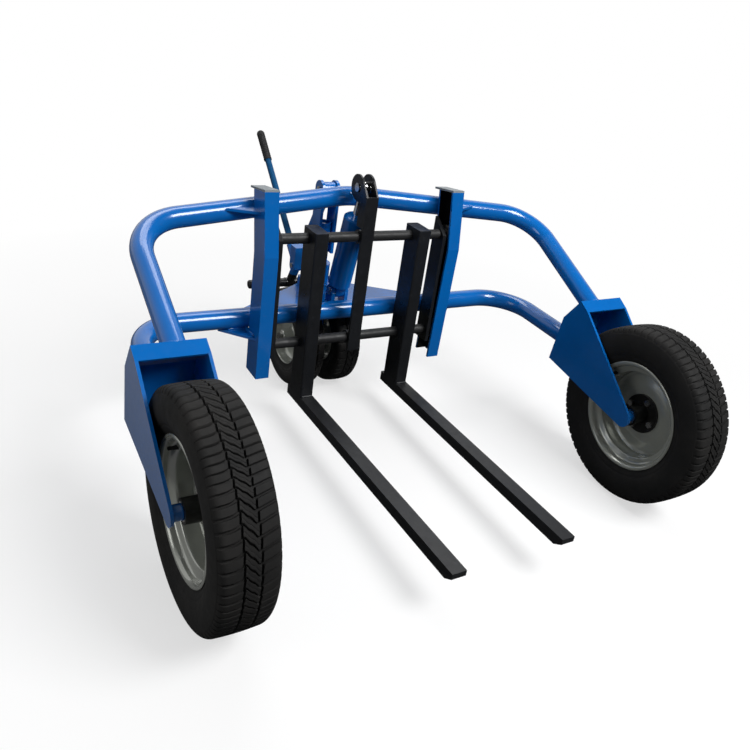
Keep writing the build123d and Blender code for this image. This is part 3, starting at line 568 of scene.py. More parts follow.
class Skin:
    """Meshes from grids, added to the scene with a finish and a body to ride on."""

    @staticmethod
    def mesh(name: str, grid: Array, loop_rows: bool, loop_cols: bool, crease: float) -> bpy.types.Object:
        """Join a grid of points into quads, closed along the directions asked for.

        Args:
            name: the object's name.
            grid: (rows, cols, 3) points.
            loop_rows: whether the last row joins the first.
            loop_cols: whether the last column joins the first.
            crease: angle in degrees above which an edge stays sharp.
        Returns: the object.
        """
        rows, cols = grid.shape[:2]
        r = np.arange(rows if loop_rows else rows - 1)
        c = np.arange(cols if loop_cols else cols - 1)
        r0, c0 = np.meshgrid(r, c, indexing="ij")
        r1, c1 = (r0 + 1) % rows, (c0 + 1) % cols
        corners = [r0 * cols + c0, r0 * cols + c1, r1 * cols + c1, r1 * cols + c0]
        quads = np.stack(corners, -1).reshape(-1, 4)
        ends = []
        if loop_cols and not loop_rows:
            ends = [np.arange(cols), np.arange(cols)[::-1] + (rows - 1) * cols]
        mesh = bpy.data.meshes.new(name)
        mesh.vertices.add(rows * cols)
        mesh.vertices.foreach_set("co", grid.reshape(-1).astype(np.float32))
        loops = np.concatenate([quads.reshape(-1), *ends]).astype(np.int32)
        sizes = np.concatenate([np.full(len(quads), 4), np.array([len(e) for e in ends], int)])
        starts = np.concatenate([[0], np.cumsum(sizes)[:-1]]).astype(np.int32)
        mesh.loops.add(len(loops))
        mesh.loops.foreach_set("vertex_index", loops)
        mesh.polygons.add(len(sizes))
        mesh.polygons.foreach_set("loop_start", starts)
        mesh.update(calc_edges=True)
        mesh.validate()
        mesh.shade_smooth()
        mesh.set_sharp_from_angle(angle=math.radians(crease))
        made = bpy.data.objects.new(name, mesh)
        bpy.context.scene.collection.objects.link(made)
        return made

    @staticmethod
    def add(name: str, grid: Array, finish: Finish, body: str, replaces: Sequence[str] = (),
            loop_rows: bool = True, loop_cols: bool = True, crease: float = 40.0) -> bpy.types.Object:
        """Make a piece, finish it and let it ride.

        Args:
            name: the object's name.
            grid: (rows, cols, 3) points.
            finish: its finish.
            body: CAD body that it moves with.
            replaces: CAD nodes that it stands for.
            loop_rows, loop_cols: directions that close.
            crease: angle in degrees above which an edge stays sharp.
        Returns: the object.
        """
        made = Skin.mesh(name, grid, loop_rows, loop_cols, crease)
        made.data.materials.append(finish.build())
        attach(made, body)
        if replaces:
            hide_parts(*replaces)
        LOG.info("%s: %d faces on %s", name, len(made.data.polygons), body)
        return made


# Sub-assemblies


def node_centre(node: str) -> Vector:
    """Args: node: a CAD node. Returns: the middle of its box."""
    low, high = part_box(node)
    return (low + high) / 2


def half_size(node: str) -> tuple[float, float, float]:
    """Args: node: a CAD node. Returns: half the size of its box along X, Y and Z."""
    low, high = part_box(node)
    return tuple((end - start) / 2 for start, end in zip(low, high))


def moved(points: Points, axial: float, radial: float) -> list[tuple[float, float]]:
    """Args: points: a profile. axial, radial: how far it moves. Returns: the moved profile."""
    return [(axial + x, radial + r) for x, r in points]


def mirrored(points: Points) -> list[tuple[float, float]]:
    """Args: points: a profile. Returns: its mirror image, back to front, so that it goes on."""
    return [(-x, r) for x, r in points][::-1]


@dataclass
class Piece:
    """A modelled piece that takes a CAD node's place.

    Attributes:
        node: CAD node that it stands for.
        body: CAD body that it moves with.
    """

    node: str
    body: str


@dataclass(frozen=True)
class TyreShape:
    """Sizes of a tyre, in metres.

    Attributes:
        radius, width: over all.
        tread: width of the tread.
        crown: drop from the crown to the tread's edge.
        flange_r, bead_r, bead_x: where it sits on the rim.
        wall: casing thickness.
        pitches: tread blocks round the tyre.
        groove_x: distance of the two long grooves from the middle.
        groove_w: width of the long grooves.
        depth: depth of the long grooves.
        step: sideways step of the long grooves at each block.
    """

    radius: float
    width: float
    tread: float
    crown: float
    flange_r: float
    bead_r: float
    bead_x: float
    wall: float
    pitches: int
    groove_x: float
    groove_w: float
    depth: float
    step: float


@dataclass
class Tyre(Piece):
    """A tyre with a moulded tread.

    Attributes:
        shape: its sizes.
        finish: its rubber.
        columns: grid lines over one block, in pitches; a cut lies round each whole pitch.
        cut: share of the cut's depth on each grid line, with a chamfer above the cut.
        sipe: share of the middle slit's depth on each grid line.
        middle_rows: rows from the middle to the groove, in shares of that way.
        shoulder_rows: rows from the groove to the tread's edge, in shares of that way.
        upper_rows, lower_rows: rows on the wall above and below its widest point, in shares
            of each circle's angle.
        bend_rows: rows round the shoulder.
        lip: half the width of a groove's slanting wall.
        skim: how far the crown stays inside the CAD tyre.
        upper_ring, lower_ring: depths of the rings on the wall.
        cut_end: share of the shoulder cut's depth that is left where it ends.
        curl, curl_fade: how far the cuts curl over the -X shoulder, in pitches, and how fast that fades.
        fall, jag: how far they fall over the middle, and the height of the jags, in pitches.
        climb: how far they climb over the +X shoulder, in pitches.
        wave, waves: height in radians and number of the waves in the blocks' lengths.
        shoulder_cut, middle_cut, slit: depths of the cuts, in shares of the long grooves'.
        step_reach: how far from a groove its sideways step is felt.
    """

    shape: TyreShape
    finish: Finish
    columns: Sequence[float] = (-0.12, -0.08, 0.08, 0.115, 0.2, 0.32, 0.43, 0.47, 0.5, 0.53, 0.58, 0.7,
                                0.83)
    cut: Sequence[float] = (0, 1, 1, 0.32, 0, 0, 0, 0, 0, 0, 0, 0, 0)
    sipe: Sequence[float] = (0, 0, 0, 0, 0, 0, 0, 0.2, 1, 0.2, 0, 0, 0)
    middle_rows: Sequence[float] = (0.0, 0.22, 0.44, 0.66)
    shoulder_rows: Sequence[float] = (0.15, 0.26, 0.38, 0.5, 0.62, 0.74)
    upper_rows: Sequence[float] = (0.78, 0.7, 0.685, 0.67, 0.6, 0.45, 0.25, 0.0)
    lower_rows: Sequence[float] = (0.2, 0.38, 0.55, 0.58, 0.62, 0.68, 0.72, 0.86, 1.0)
    bend_rows: int = 6
    lip: float = 0.0006
    skim: float = 0.0001
    upper_ring: float = 0.0006
    lower_ring: float = 0.0012
    cut_end: float = 0.4
    curl: float = 0.36
    curl_fade: float = 3.4
    fall: float = 1.16
    jag: float = 0.08
    climb: float = 0.5
    wave: float = 0.04
    waves: float = 5.0
    shoulder_cut: float = 0.95
    middle_cut: float = 0.75
    slit: float = 0.1
    step_reach: float = 0.009

    def tread_rows(self) -> tuple[Array, Array]:
        """Rows across half the tread, on a shallow parabola, with four for the groove's walls.

        Returns: points (n, 2) as (axial, radial), and per point its share of
            (long groove, shoulder cut, middle cut).
        """
        s = self.shape
        edge, half = s.tread / 2, s.groove_w / 2
        inner = np.array(self.middle_rows) * s.groove_x
        slant = np.array([-self.lip, self.lip])
        walls = s.groove_x + np.concatenate([-half + slant, half + slant])
        outer = s.groove_x + (edge - s.groove_x) * np.array(self.shoulder_rows)
        x = np.concatenate([inner, walls, outer])
        first = len(inner)
        share = np.zeros((len(x), 3))
        share[first + 1: first + 3, 0] = 1.0
        share[first + 3:, 1] = 1.0
        share[: first + 1, 2] = 1.0
        return np.stack([x, s.radius - self.skim - s.crown * (x / edge) ** 2], 1), share

    def wall_arc(self, x_end: float, r_end: float, parts: Sequence[float]) -> Array:
        """Points on the circle that is upright at the wall's widest point and runs to an end.

        Args:
            x_end, r_end: the end, axial and radial.
            parts: the points' places, in shares of the circle's angle up to the end.
        Returns: (n, 2) points.
        """
        s = self.shape
        belly = (s.radius - s.crown + s.flange_r) / 2
        dx, dr = s.width / 2 - x_end, r_end - belly
        size = (dx**2 + dr**2) / (2 * dx)
        angle = math.asin(dr / size) * np.array(parts)
        return np.stack([s.width / 2 - size + size * np.cos(angle), belly + size * np.sin(angle)], 1)

    def half_section(self) -> tuple[Array, Array]:
        """Outside of half the section from the crown to the bead: the tread's parabola, a
        parabola that rounds the shoulder, then two circles that share an upright tangent
        at the widest point, with shallow rings on the wall.

        Returns: points (n, 2) as (axial, radial), and per point its share of
            (long groove, shoulder cut, middle cut).
        """
        s = self.shape
        top, share = self.tread_rows()
        corner = np.array([s.tread / 2, s.radius - s.crown])
        upper = self.wall_arc(*corner, self.upper_rows)
        lower = self.wall_arc(s.bead_x, s.flange_r, self.lower_rows)
        upper[2, 0] -= self.upper_ring
        lower[3:5, 0] -= self.lower_ring
        t = np.linspace(0.0, 1.0, self.bend_rows + 2)[1:-1, None]
        bend = (1 - t) ** 2 * top[-1] + 2 * t * (1 - t) * corner + t**2 * upper[0]
        fade = np.zeros((len(bend) + len(upper) + len(lower), 3))
        notch = len(bend) + 2
        fade[:notch, 1] = np.linspace(1.0, self.cut_end, notch)
        return np.vstack([top, bend, upper, lower]), np.vstack([share, fade])

    def swing(self, x: Array) -> Array:
        """How far round the tyre each grid line is carried, by its axial place: over the
        -X shoulder it curls up to the groove, over the middle it falls in a jagged S, and
        over the +X shoulder it climbs at a slant.

        Args:
            x: axial places.
        Returns: shifts, in pitches.
        """
        s = self.shape
        reach = np.clip((np.abs(x) - s.groove_x) / (s.tread / 2 - s.groove_x), 0.0, 1.0)
        share = np.clip((x + s.groove_x) / (2 * s.groove_x), 0.0, 1.0)
        curl = self.curl * np.exp(-self.curl_fade * reach)
        smooth = share**2 * (3 - 2 * share)
        fall = self.curl - self.fall * smooth + self.jag * np.sin(4 * math.pi * share)
        climb = self.curl - self.fall + self.climb * reach
        return np.where(x < -s.groove_x, curl, np.where(x > s.groove_x, climb, fall))

    def grid(self) -> Array:
        """Tread relief: every block edge follows a grid line. Grid lines swing round the
        tyre by a curve of the axial place, the long grooves step sideways at each block,
        and the blocks' lengths vary in a slow wave. Points in a cut move inwards.

        Returns: grid of points, (columns, rows, 3).
        """
        s = self.shape
        half, share = self.half_section()
        inside = np.array([
            [s.bead_x, s.bead_r], [s.bead_x - s.wall, s.bead_r],
            [s.width / 2 - s.wall, (s.radius + s.flange_r) / 2],
            [s.tread / 2 - s.wall, s.radius - s.crown - s.wall],
        ])
        right = np.vstack([half, inside])
        weight = np.vstack([share, np.zeros((len(inside), 3))])
        section = np.vstack([right, right[1:][::-1] * np.array([-1.0, 1.0])])
        weights = np.vstack([weight, weight[1:][::-1]])

        x = section[:, 0]
        pitch = (np.arange(s.pitches)[:, None] + np.asarray(self.columns)[None]).reshape(-1, 1)
        turn = (pitch + self.swing(x)[None]) * (2 * math.pi / s.pitches)
        turn = turn + self.wave * np.sin(self.waves * turn)
        cut = np.tile(self.cut, s.pitches)[:, None]
        sipe = np.tile(self.sipe, s.pitches)[:, None]
        relief = s.depth * np.maximum.reduce([
            np.broadcast_to(weights[:, 0], turn.shape),
            cut * (self.shoulder_cut * weights[:, 1] + self.middle_cut * weights[:, 2]),
            sipe * self.slit * weights[:, 2],
        ])
        saw = pitch % 1.0 - 0.5
        on_tread = weights.sum(1) > 0.5
        near = np.exp(-(((np.abs(x) - s.groove_x) / self.step_reach) ** 2)) * on_tread
        axial = x + s.step * saw * near
        radial = section[:, 1] - relief
        centre = np.array(node_centre(self.node))
        return np.stack([axial, radial * np.sin(turn), radial * np.cos(turn)], -1) + centre

    def build(self) -> None:
        """Add the tyre."""
        Skin.add(self.node + "_tread", self.grid(), self.finish, self.body, [self.node], crease=34.0)


@dataclass
class PressedRim(Piece):
    """A pressed rim with rolled flanges, a well and a dished disc.

    Profile points are (axial, radial). Axial places of `seat`, `lip` and `under_lip` are
    measured from the rim's edge, and radial places of `lip` from the flange's top.

    Attributes:
        well, seat, lip: the barrel's outside, from the middle to the rolled flange.
        under_lip, under: its inside, from the flange to the middle.
        roll: rounding of the barrel's corners.
        disc_x, disc_t: the disc's place along the axis and its thickness.
        hub_r: radius of the disc's centre hole.
        face, back: the disc's two faces, the back from the barrel to the hole.
        bowl: rounding of the disc's corners.
        segments: steps round the axis.
        crease: angle in degrees above which an edge stays sharp.
    """

    well: Points = ((0.0, 0.1438), (0.022, 0.1438), (0.036, 0.1648))
    seat: Points = ((-0.005, 0.1648),)
    lip: Points = ((-0.005, -0.003), (-0.003, 0.0), (0.0, -0.004))
    under_lip: Points = ((-0.0015, 0.1655), (-0.009, 0.1602))
    under: Points = ((0.0405, 0.1592), (0.0365, 0.155), (0.0295, 0.1402), (0.024, 0.1388), (0.0, 0.1385))
    roll: float = 0.0035
    disc_x: float = 0.008
    disc_t: float = 0.005
    hub_r: float = 0.0312
    face: Points = ((0.0, 0.075), (0.001, 0.092), (0.0065, 0.112), (0.009, 0.128), (0.003, 0.1388))
    back: Points = ((0.003, 0.1388), (0.009, 0.13), (0.0065, 0.112), (0.001, 0.092), (0.0, 0.075))
    bowl: float = 0.008
    segments: int = 144
    crease: float = 60.0

    def build(self) -> None:
        """Add the barrel and the disc: softened closed profiles turned about the axle."""
        centre = node_centre(self.node)
        half, _, flange = half_size(self.node)
        outer = [*self.well, *moved(self.seat, half, 0.0), *moved(self.lip, half, flange),
                 *moved(self.under_lip, half, 0.0), *self.under]
        barrel = lathe(soften(outer + mirrored(outer[1:-1]), self.roll), centre, self.segments)
        Skin.add(self.node + "_barrel", barrel, RIM_GREY, self.body, [self.node], crease=self.crease)
        hole = (0.0, self.hub_r)
        dish = [*moved([hole, *self.face], self.disc_x, 0.0),
                *moved([*self.back, hole], self.disc_x + self.disc_t, 0.0)]
        disc = lathe(soften(dish, self.bowl), centre, self.segments)
        Skin.add(self.node + "_disc", disc, RIM_GREY, self.body, crease=self.crease)


@dataclass
class SteerRim(Piece):
    """A small cast rim with a hub, a web and a rolled edge.

    Profile points are (axial, radial). Radial places are measured from the hub in `by_hub`,
    from the tyre's seat in `web` and `edge`, and axial places in `edge` from the rim's edge.

    Attributes:
        half: half the rim's width.
        bore, hub: radii of the hub's bore and outside.
        by_hub, web, edge: the profile from the hub to the seat.
        rounding: rounding of the corners.
        segments: steps round the axis.
    """

    half: float = 0.039
    bore: float = 0.0126
    hub: float = 0.026
    by_hub: Points = ((0.012, 0.003), (0.004, 0.012))
    web: Points = ((0.003, -0.022), (0.008, -0.012))
    edge: Points = ((-0.008, -0.006), (0.0, -0.005), (0.0, 0.0))
    rounding: float = 0.004
    segments: int = 96

    def build(self) -> None:
        """Add the rim: one softened closed profile turned about the axle."""
        hub_half, _, seat = half_size(self.node)
        right = [(hub_half, self.bore), (hub_half, self.hub), *moved(self.by_hub, 0.0, self.hub),
                 *moved(self.web, 0.0, seat), *moved(self.edge, self.half, seat)]
        profile = soften(right + mirrored(right), self.rounding)
        casting = lathe(profile, node_centre(self.node), self.segments)
        Skin.add(self.node + "_casting", casting, RIM_GREY, self.body, [self.node], crease=60.0)


@dataclass
class Valve:
    """A tyre valve standing out of a rim.

    Attributes:
        rim: CAD rim node.
        body: CAD body that it moves with.
        radius: its distance from the axle.
        angle: its place round the axle, in degrees.
        profile: rubber foot, stem and cap, as (axial, radial).
        segments: steps round the stem.
    """

    rim: str
    body: str
    radius: float = 0.1475
    angle: float = 52.0
    profile: Points = ((-0.026, 0.0002), (-0.0275, 0.007), (-0.031, 0.0058), (-0.0445, 0.0042),
                       (-0.046, 0.0042), (-0.0465, 0.0048), (-0.054, 0.0046), (-0.0555, 0.0002))
    segments: int = 20

    def build(self) -> None:
        """Add the stem: its profile turned about a line along -X."""
        turn = math.radians(self.angle)
        out = Vector((0.0, self.radius * math.sin(turn), self.radius * math.cos(turn)))
        grid = lathe(np.array(self.profile), node_centre(self.rim) + out, self.segments)
        Skin.add(self.rim + "_valve", np.swapaxes(grid, 0, 1), GRIP, self.body, loop_rows=False)


@dataclass
class WeldBead:
    """A run of weld: a thin tube along a seam whose radius ripples with each puddle.

    Attributes:
        name: the object's name.
        body: CAD body that it moves with.
        path: (n, 3) points along the seam.
        finish: the paint over it.
        radius: its least radius, before it wanders.
        loop: whether the seam closes on itself.
        puddle, ripple: length of a puddle and its height, in shares of the radius.
        drift, wander: half the length of a slow wave and its height, in shares of the radius.
        spacing: distance between rings.
        fewest: least number of rings.
        sides: points round a ring.
    """

    name: str
    body: str
    path: Array
    finish: Finish
    radius: float
    loop: bool = False
    puddle: float = 0.0042
    ripple: float = 0.16
    drift: float = 0.031
    wander: float = 0.07
    spacing: float = 0.0013
    fewest: int = 8
    sides: int = 8

    def build(self) -> None:
        """Add the bead: its radius is multiplied by one plus a hump for each puddle, the absolute
        value of a sine, plus a slow sine."""
        path = np.vstack([self.path, self.path[:1]]) if self.loop else np.asarray(self.path)
        stretch = np.linalg.norm(np.diff(path, axis=0), axis=1)
        place = np.concatenate([[0.0], np.cumsum(stretch)])
        count = max(self.fewest, int(place[-1] / self.spacing))
        along = np.linspace(0.0, place[-1], count, endpoint=not self.loop)
        dense = np.stack([np.interp(along, place, path[:, k]) for k in range(3)], 1)
        humps = self.ripple * np.abs(np.sin(along / self.puddle * math.pi))
        slow = self.wander * np.sin(along / self.drift * math.pi)
        grid = tube(dense, self.radius * (1.0 + humps + slow), self.sides, self.loop)
        Skin.add(self.name, grid, self.finish, self.body, loop_rows=self.loop, crease=70.0)


@dataclass
class LeverGrip(Piece):
    """The pump lever's ribbed rubber grip.

    Attributes:
        lean: the lever's lean from upright, in degrees.
        ribs: how many ribs it has.
        rib_rows: rings to a rib.
        rib_depth: depth between ribs.
        plain, fade: length without ribs at each end, and length over which they come in.
        skim: how far it stays inside the CAD grip.
        dome_rows: rings on the round end.
        tip: radius of the last ring.
        sides: points round a ring.
    """

    node: str = "lever_grip"
    body: str = "pump_lever"
    lean: float = 49.7
    ribs: int = 15
    rib_rows: int = 16
    rib_depth: float = 0.0016
    plain: float = 0.004
    fade: float = 0.006
    skim: float = 0.0001
    dome_rows: int = 9
    tip: float = 0.0002
    sides: int = 32

    def build(self) -> None:
        """Add the grip: a tube along the lever whose radius rises and falls with each
        rib and closes in a round end."""
        low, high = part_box(self.node)
        lean = math.radians(self.lean)
        along = np.array([0.0, math.sin(lean), math.cos(lean)])
        radius = (high.x - low.x) / 2
        top = np.array([(low.x + high.x) / 2, high.y - radius, high.z - radius])
        length = (high.z - low.z - radius - radius * math.sin(lean)) / math.cos(lean)
        s = np.linspace(-length, 0.0, self.rib_rows * self.ribs)
        upper = np.clip((-s - self.plain) / self.fade, 0.0, 1.0)
        lower = np.clip((s + length - self.plain) / self.fade, 0.0, 1.0)
        wave = 0.5 - 0.5 * np.cos((s / length) * 2 * math.pi * self.ribs)
        ribbed = radius - self.skim - self.rib_depth * wave * upper * lower
        dome = np.linspace(0.0, math.pi / 2, self.dome_rows + 1)[1:]
        place = np.concatenate([s, radius * np.sin(dome)])
        size = np.concatenate([ribbed, np.maximum((radius - self.skim) * np.cos(dome), self.tip)])
        grid = tube(top + place[:, None] * along, size, self.sides)
        Skin.add("lever_grip_ribs", grid, GRIP, self.body, [self.node], loop_rows=False, crease=70.0)


@dataclass
class CarriedNode:
    """CAD nodes shown as they are, with a finish and softened edges.

    Attributes:
        nodes: CAD nodes.
        finish: their finish.
        edge: how wide their sharp edges are rounded.
        sharp: angle in degrees above which an edge is shaded sharp.
        bevelled: angle in degrees above which an edge is rounded.
    """

    nodes: Sequence[str]
    finish: Finish
    edge: Edge = Edge.AS_CUT
    sharp: float = 32.0
    bevelled: float = 38.0

    @staticmethod
    def bevel(made: bpy.types.Object, name: str, width: float, segments: int,
              limit: str) -> bpy.types.Modifier:
        """Add a bevel.

        Args:
            made: the node's object.
            name: the modifier's name.
            width, segments: the bevel's size and steps.
            limit: Blender's way to choose the edges.
        Returns: the modifier.
        """
        added = made.modifiers.new(name, "BEVEL")
        added.width = width
        added.segments = segments
        added.limit_method = limit
        added.harden_normals = True
        return added

    def soften_edges(self, made: bpy.types.Object) -> None:
        """Args: made: the node's object, which gets a fine bevel on its sharp edges."""
        if self.edge is Edge.AS_CUT:
            return
        added = self.bevel(made, "edge", self.edge.value, segments=2, limit="ANGLE")
        added.angle_limit = math.radians(self.bevelled)

    def build(self) -> None:
        """Give each node its material and edge rounding."""
        for name in self.nodes:
            made = frame["nodes"][name]
            made.data.materials.clear()
            made.data.materials.append(self.finish.build())
            made.data.polygons.foreach_set("material_index", np.zeros(len(made.data.polygons), np.int32))
            made.data.shade_smooth()
            made.data.set_sharp_from_angle(angle=math.radians(self.sharp))
            self.soften_edges(made)
            LOG.info("%s: CAD node, %s", name, self.finish.name)


@dataclass
class RolledChannel(CarriedNode):
    """Rolled channels, whose two long outer corners are well rounded.

    Attributes:
        corner: radius of those corners.
        skim: depth within which an edge counts as on the outer face.
        steep: how many times more an upright edge rises than it runs along Y.
    """

    corner: float = 0.009
    skim: float = 0.0002
    steep: float = 2.0

    @staticmethod
    def read(rows: bpy.types.bpy_prop_collection, key: str, kind: type, width: int) -> Array:
        """Read a mesh's numbers.

        Args:
            rows: what holds them.
            key: their name.
            kind: their number type.
            width: numbers in a row.
        Returns: (n, width) numbers.
        """
        flat = np.empty(width * len(rows), kind)
        rows.foreach_get(key, flat)
        return flat.reshape(-1, width)

    def soften_edges(self, made: bpy.types.Object) -> None:
        """Weigh the sharp upright edges on the outer face, bevel those wide and the rest fine.

        Args:
            made: the node's object.
        """
        mesh = made.data
        place = self.read(mesh.vertices, "co", np.float32, 3)
        ends = place[self.read(mesh.edges, "vertices", np.int32, 2)]
        sharp = self.read(mesh.attributes["sharp_edge"].data, "value", bool, 1)[:, 0]
        outer = np.abs(place[:, 0]).max() - self.skim
        _, run, rise = np.abs(ends[:, 1] - ends[:, 0]).T
        chosen = sharp & (rise > self.steep * run) & (np.abs(ends[:, :, 0]).min(1) > outer)
        weight = mesh.attributes.new("bevel_weight_edge", "FLOAT", "EDGE")
        weight.data.foreach_set("value", chosen.astype(np.float32))
        self.bevel(made, "roll", self.corner, segments=5, limit="WEIGHT")
        super().soften_edges(made)


@dataclass
class Assembly:
    """A group of CAD nodes.

    Attributes:
        dressed: the nodes, each with its finish and edges.
    """

    dressed: Sequence[CarriedNode]

    def build(self) -> None:
        """Finish the nodes."""
        for nodes in self.dressed:
            nodes.build()


@dataclass
class LoadWheel:
    """A load wheel: tyre, rim, valve, hub, bolts and bearings.

    Attributes:
        side: the side that it is on.
        shape: the tyre's sizes.
    """

    side: Side
    shape: TyreShape = TyreShape(radius=0.284, width=0.145, tread=0.122, crown=0.003, flange_r=0.176,
                                 bead_r=0.1651, bead_x=0.0549, wall=0.012, pitches=74, groove_x=0.0185,
                                 groove_w=0.0042, depth=0.0075, step=0.0032)

    def build(self) -> None:
        """Build the wheel."""
        word = self.side.word
        body = f"{word}_load_wheel"
        Tyre(f"{word}_tyre", body, self.shape, TYRE).build()
        PressedRim(f"{word}_rim", body).build()
        Valve(f"{word}_rim", body).build()
        CarriedNode([f"{word}_hub"], HUB_BLACK, Edge.MEDIUM).build()
        CarriedNode([f"{word}_wheel_bolts"], BRIGHT, Edge.HAIRLINE).build()
        CarriedNode([f"{word}_wheel_bearings"], BRIGHT).build()


@dataclass
class SteerWheel:
    """A steer wheel: tyre and rim.

    Attributes:
        side: the side that it is on.
        shape: the tyre's sizes.
    """

    side: Side
    shape: TyreShape = TyreShape(radius=0.175, width=0.092, tread=0.076, crown=0.004, flange_r=0.112,
                                 bead_r=0.0982, bead_x=0.0388, wall=0.010, pitches=38, groove_x=0.012,
                                 groove_w=0.0034, depth=0.005, step=0.002)

    def build(self) -> None:
        """Build the wheel."""
        word = self.side.word
        body = f"{word}_steer_wheel"
        Tyre(f"{word}_steer_tyre", body, self.shape, STEER_TYRE).build()
        SteerRim(f"{word}_steer_rim", body).build()


@dataclass
class FrameWork(Assembly):
    """The welded frame and its beads.

    Attributes:
        body: CAD body that the beads move with.
        axle_y: the load axles' place.
        folds: the brackets' folds, as (distance behind the axle, height).
        rake: rise of the upper hoop's legs, in degrees.
        bead, gusset_bead: radii of the beads on the tubes and on the gussets.
        lap: how far the gussets' beads stop short of their ends.
        seam_rise: height of those beads above the lower hoop's underside.
        seam_gap: their distance from the columns at the front; it is twice that at the corner.
    """

    dressed: Sequence[CarriedNode] = (
        CarriedNode(["lower_hoop", "upper_hoop"], BLUE),
        RolledChannel(["left_column", "right_column"], CHANNEL_SHADE_BLUE, Edge.BROAD),
        CarriedNode(["left_wheel_bracket", "right_wheel_bracket"], BLUE, Edge.BROAD),
        CarriedNode(["frame_gussets", "platform_plate", "head_tube"], BLUE, Edge.LIGHT),
        CarriedNode(["load_axles", "cylinder_lugs", "pump_body"], BLUE, Edge.LIGHT),
        CarriedNode(["column_caps"], CAP_GREY, Edge.LIGHT),
        CarriedNode(["cylinder_base_pin"], BRIGHT, Edge.FINE),
    )
    body: str = "frame"
    axle_y: float = -0.45221
    folds: Points = ((0.297, 0.549), (0.352, 0.466), (0.366, 0.306))
    rake: float = 23.24
    bead: float = 0.0032
    gusset_bead: float = 0.0055
    lap: float = 0.013
    seam_rise: float = 0.0012
    seam_gap: float = 0.001

    def build(self) -> None:
        """Finish the frame and add its beads."""
        super().build()
        self.hoop_welds()
        self.head_weld()
        self.gusset_welds()

    def hoop_welds(self) -> None:
        """Add the beads where the hoops' legs end on the folded brackets."""
        low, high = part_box("lower_hoop")
        radius = (high.z - low.z) / 2
        leg_x, leg_z = high.x - radius, (low.z + high.z) / 2
        upper, middle, lower = [np.array([0.0, self.axle_y + y, z]) for y, z in self.folds]
        foot = upper + (middle - upper) / 3
        rake = math.radians(self.rake)
        raked = np.array([0.0, math.cos(rake), math.sin(rake)])
        legs = (
            ("lower_hoop", middle, lower, np.array([0.0, 1.0, 0.0]), np.array([0.0, 0.0, leg_z])),
            ("upper_hoop", upper, middle, raked, foot),
        )
        for name, top, heel, along, through in legs:
            fold = heel - top
            normal = np.array([0.0, -fold[2], fold[1]])
            for side in Side:
                centre = through + np.array([side.value * leg_x, 0.0, 0.0])
                seam = coped(centre, along, radius, top, normal)
                WeldBead(f"{name}_{side.word}_weld", self.body, seam, BLUE, self.bead, loop=True).build()

    def head_weld(self) -> None:
        """Add the bead where the head tube stands on its plate."""
        up = np.array([0.0, 0.0, 1.0])
        plate_top = np.array([0.0, 0.0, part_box("platform_plate")[1].z])
        seam = coped(np.array(node_centre("head_tube")), up, half_size("head_tube")[0], plate_top, up)
        WeldBead("head_tube_weld", self.body, seam, BLUE, self.bead, loop=True).build()

    def gusset_welds(self) -> None:
        """Add the beads that join the lower gussets to the hoop above them and to the columns."""
        low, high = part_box("lower_hoop")
        radius = (high.z - low.z) / 2
        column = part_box("right_column")[1].x
        gusset_low, gusset_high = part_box("frame_gussets")
        seam_y, seam_z = high.y - radius - self.lap, low.z + self.seam_rise
        for side in Side:
            corner = np.array([side.value * (column + 2 * self.seam_gap), seam_y, seam_z])
            tip = np.array([side.value * (gusset_high.x - 2 * self.lap), seam_y, seam_z])
            front = np.array([side.value * (column + self.seam_gap), gusset_low.y + self.lap, seam_z])
            path = np.stack([tip, corner, front])
            WeldBead(f"{side.word}_gusset_weld", self.body, path, BLUE, self.gusset_bead).build()


@dataclass
class Carriage(Assembly):
    """The lift carriage, its rollers and the forks.

    Attributes:
        bead: radius of the bead across a fork's heel.
        inset: how far the bead stops short of the shank's sides.
        seam_rise: its height above the blade's top.
    """

    dressed: Sequence[CarriedNode] = (
        CarriedNode(["lower_fork_bar", "upper_fork_bar"], BAR_BLACK, Edge.LIGHT),
        CarriedNode(["left_side_plate", "right_side_plate"], BLACK, Edge.LIGHT),
        CarriedNode(["lift_post"], BLACK, Edge.BROAD),
    )
    bead: float = 0.0042
    inset: float = 0.003
    seam_rise: float = 0.0007

    def build(self) -> None:
        """Finish the carriage and the forks, with a bead across each fork's heel."""
        super().build()
        for side in Side:
            word = side.word
            CarriedNode([f"{word}_fork_shank"], BLACK, Edge.WIDE).build()
            CarriedNode([f"{word}_fork_blade"], FORK_BLACK_LIT, Edge.WIDE).build()
            CarriedNode([f"{word}_lower_roller", f"{word}_upper_roller"], BRIGHT, Edge.LIGHT).build()
            low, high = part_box(f"{word}_fork_shank")
            seam_z = self.fork_top(side, low.y) + self.seam_rise
            heel = np.array([[x, low.y, seam_z] for x in (low.x + self.inset, high.x - self.inset)])
            WeldBead(f"{word}_fork_weld", f"{word}_fork", heel, BLACK, self.bead).build()

    @staticmethod
    def fork_top(side: Side, y: float) -> float:
        """Height of a blade's top, from the plane of its mount in the record.

        Args:
            side: which fork.
            y: a place along it.
        Returns: the height there.
        """
        mount = next(m for m in frame["record"]["mounts"] if m["name"] == f"{side.word}_fork_top")
        (_, at_y, at_z), (_, lean, rise) = mount["pos_m"], mount["axis"]
        return at_z - (y - at_y) * lean / rise


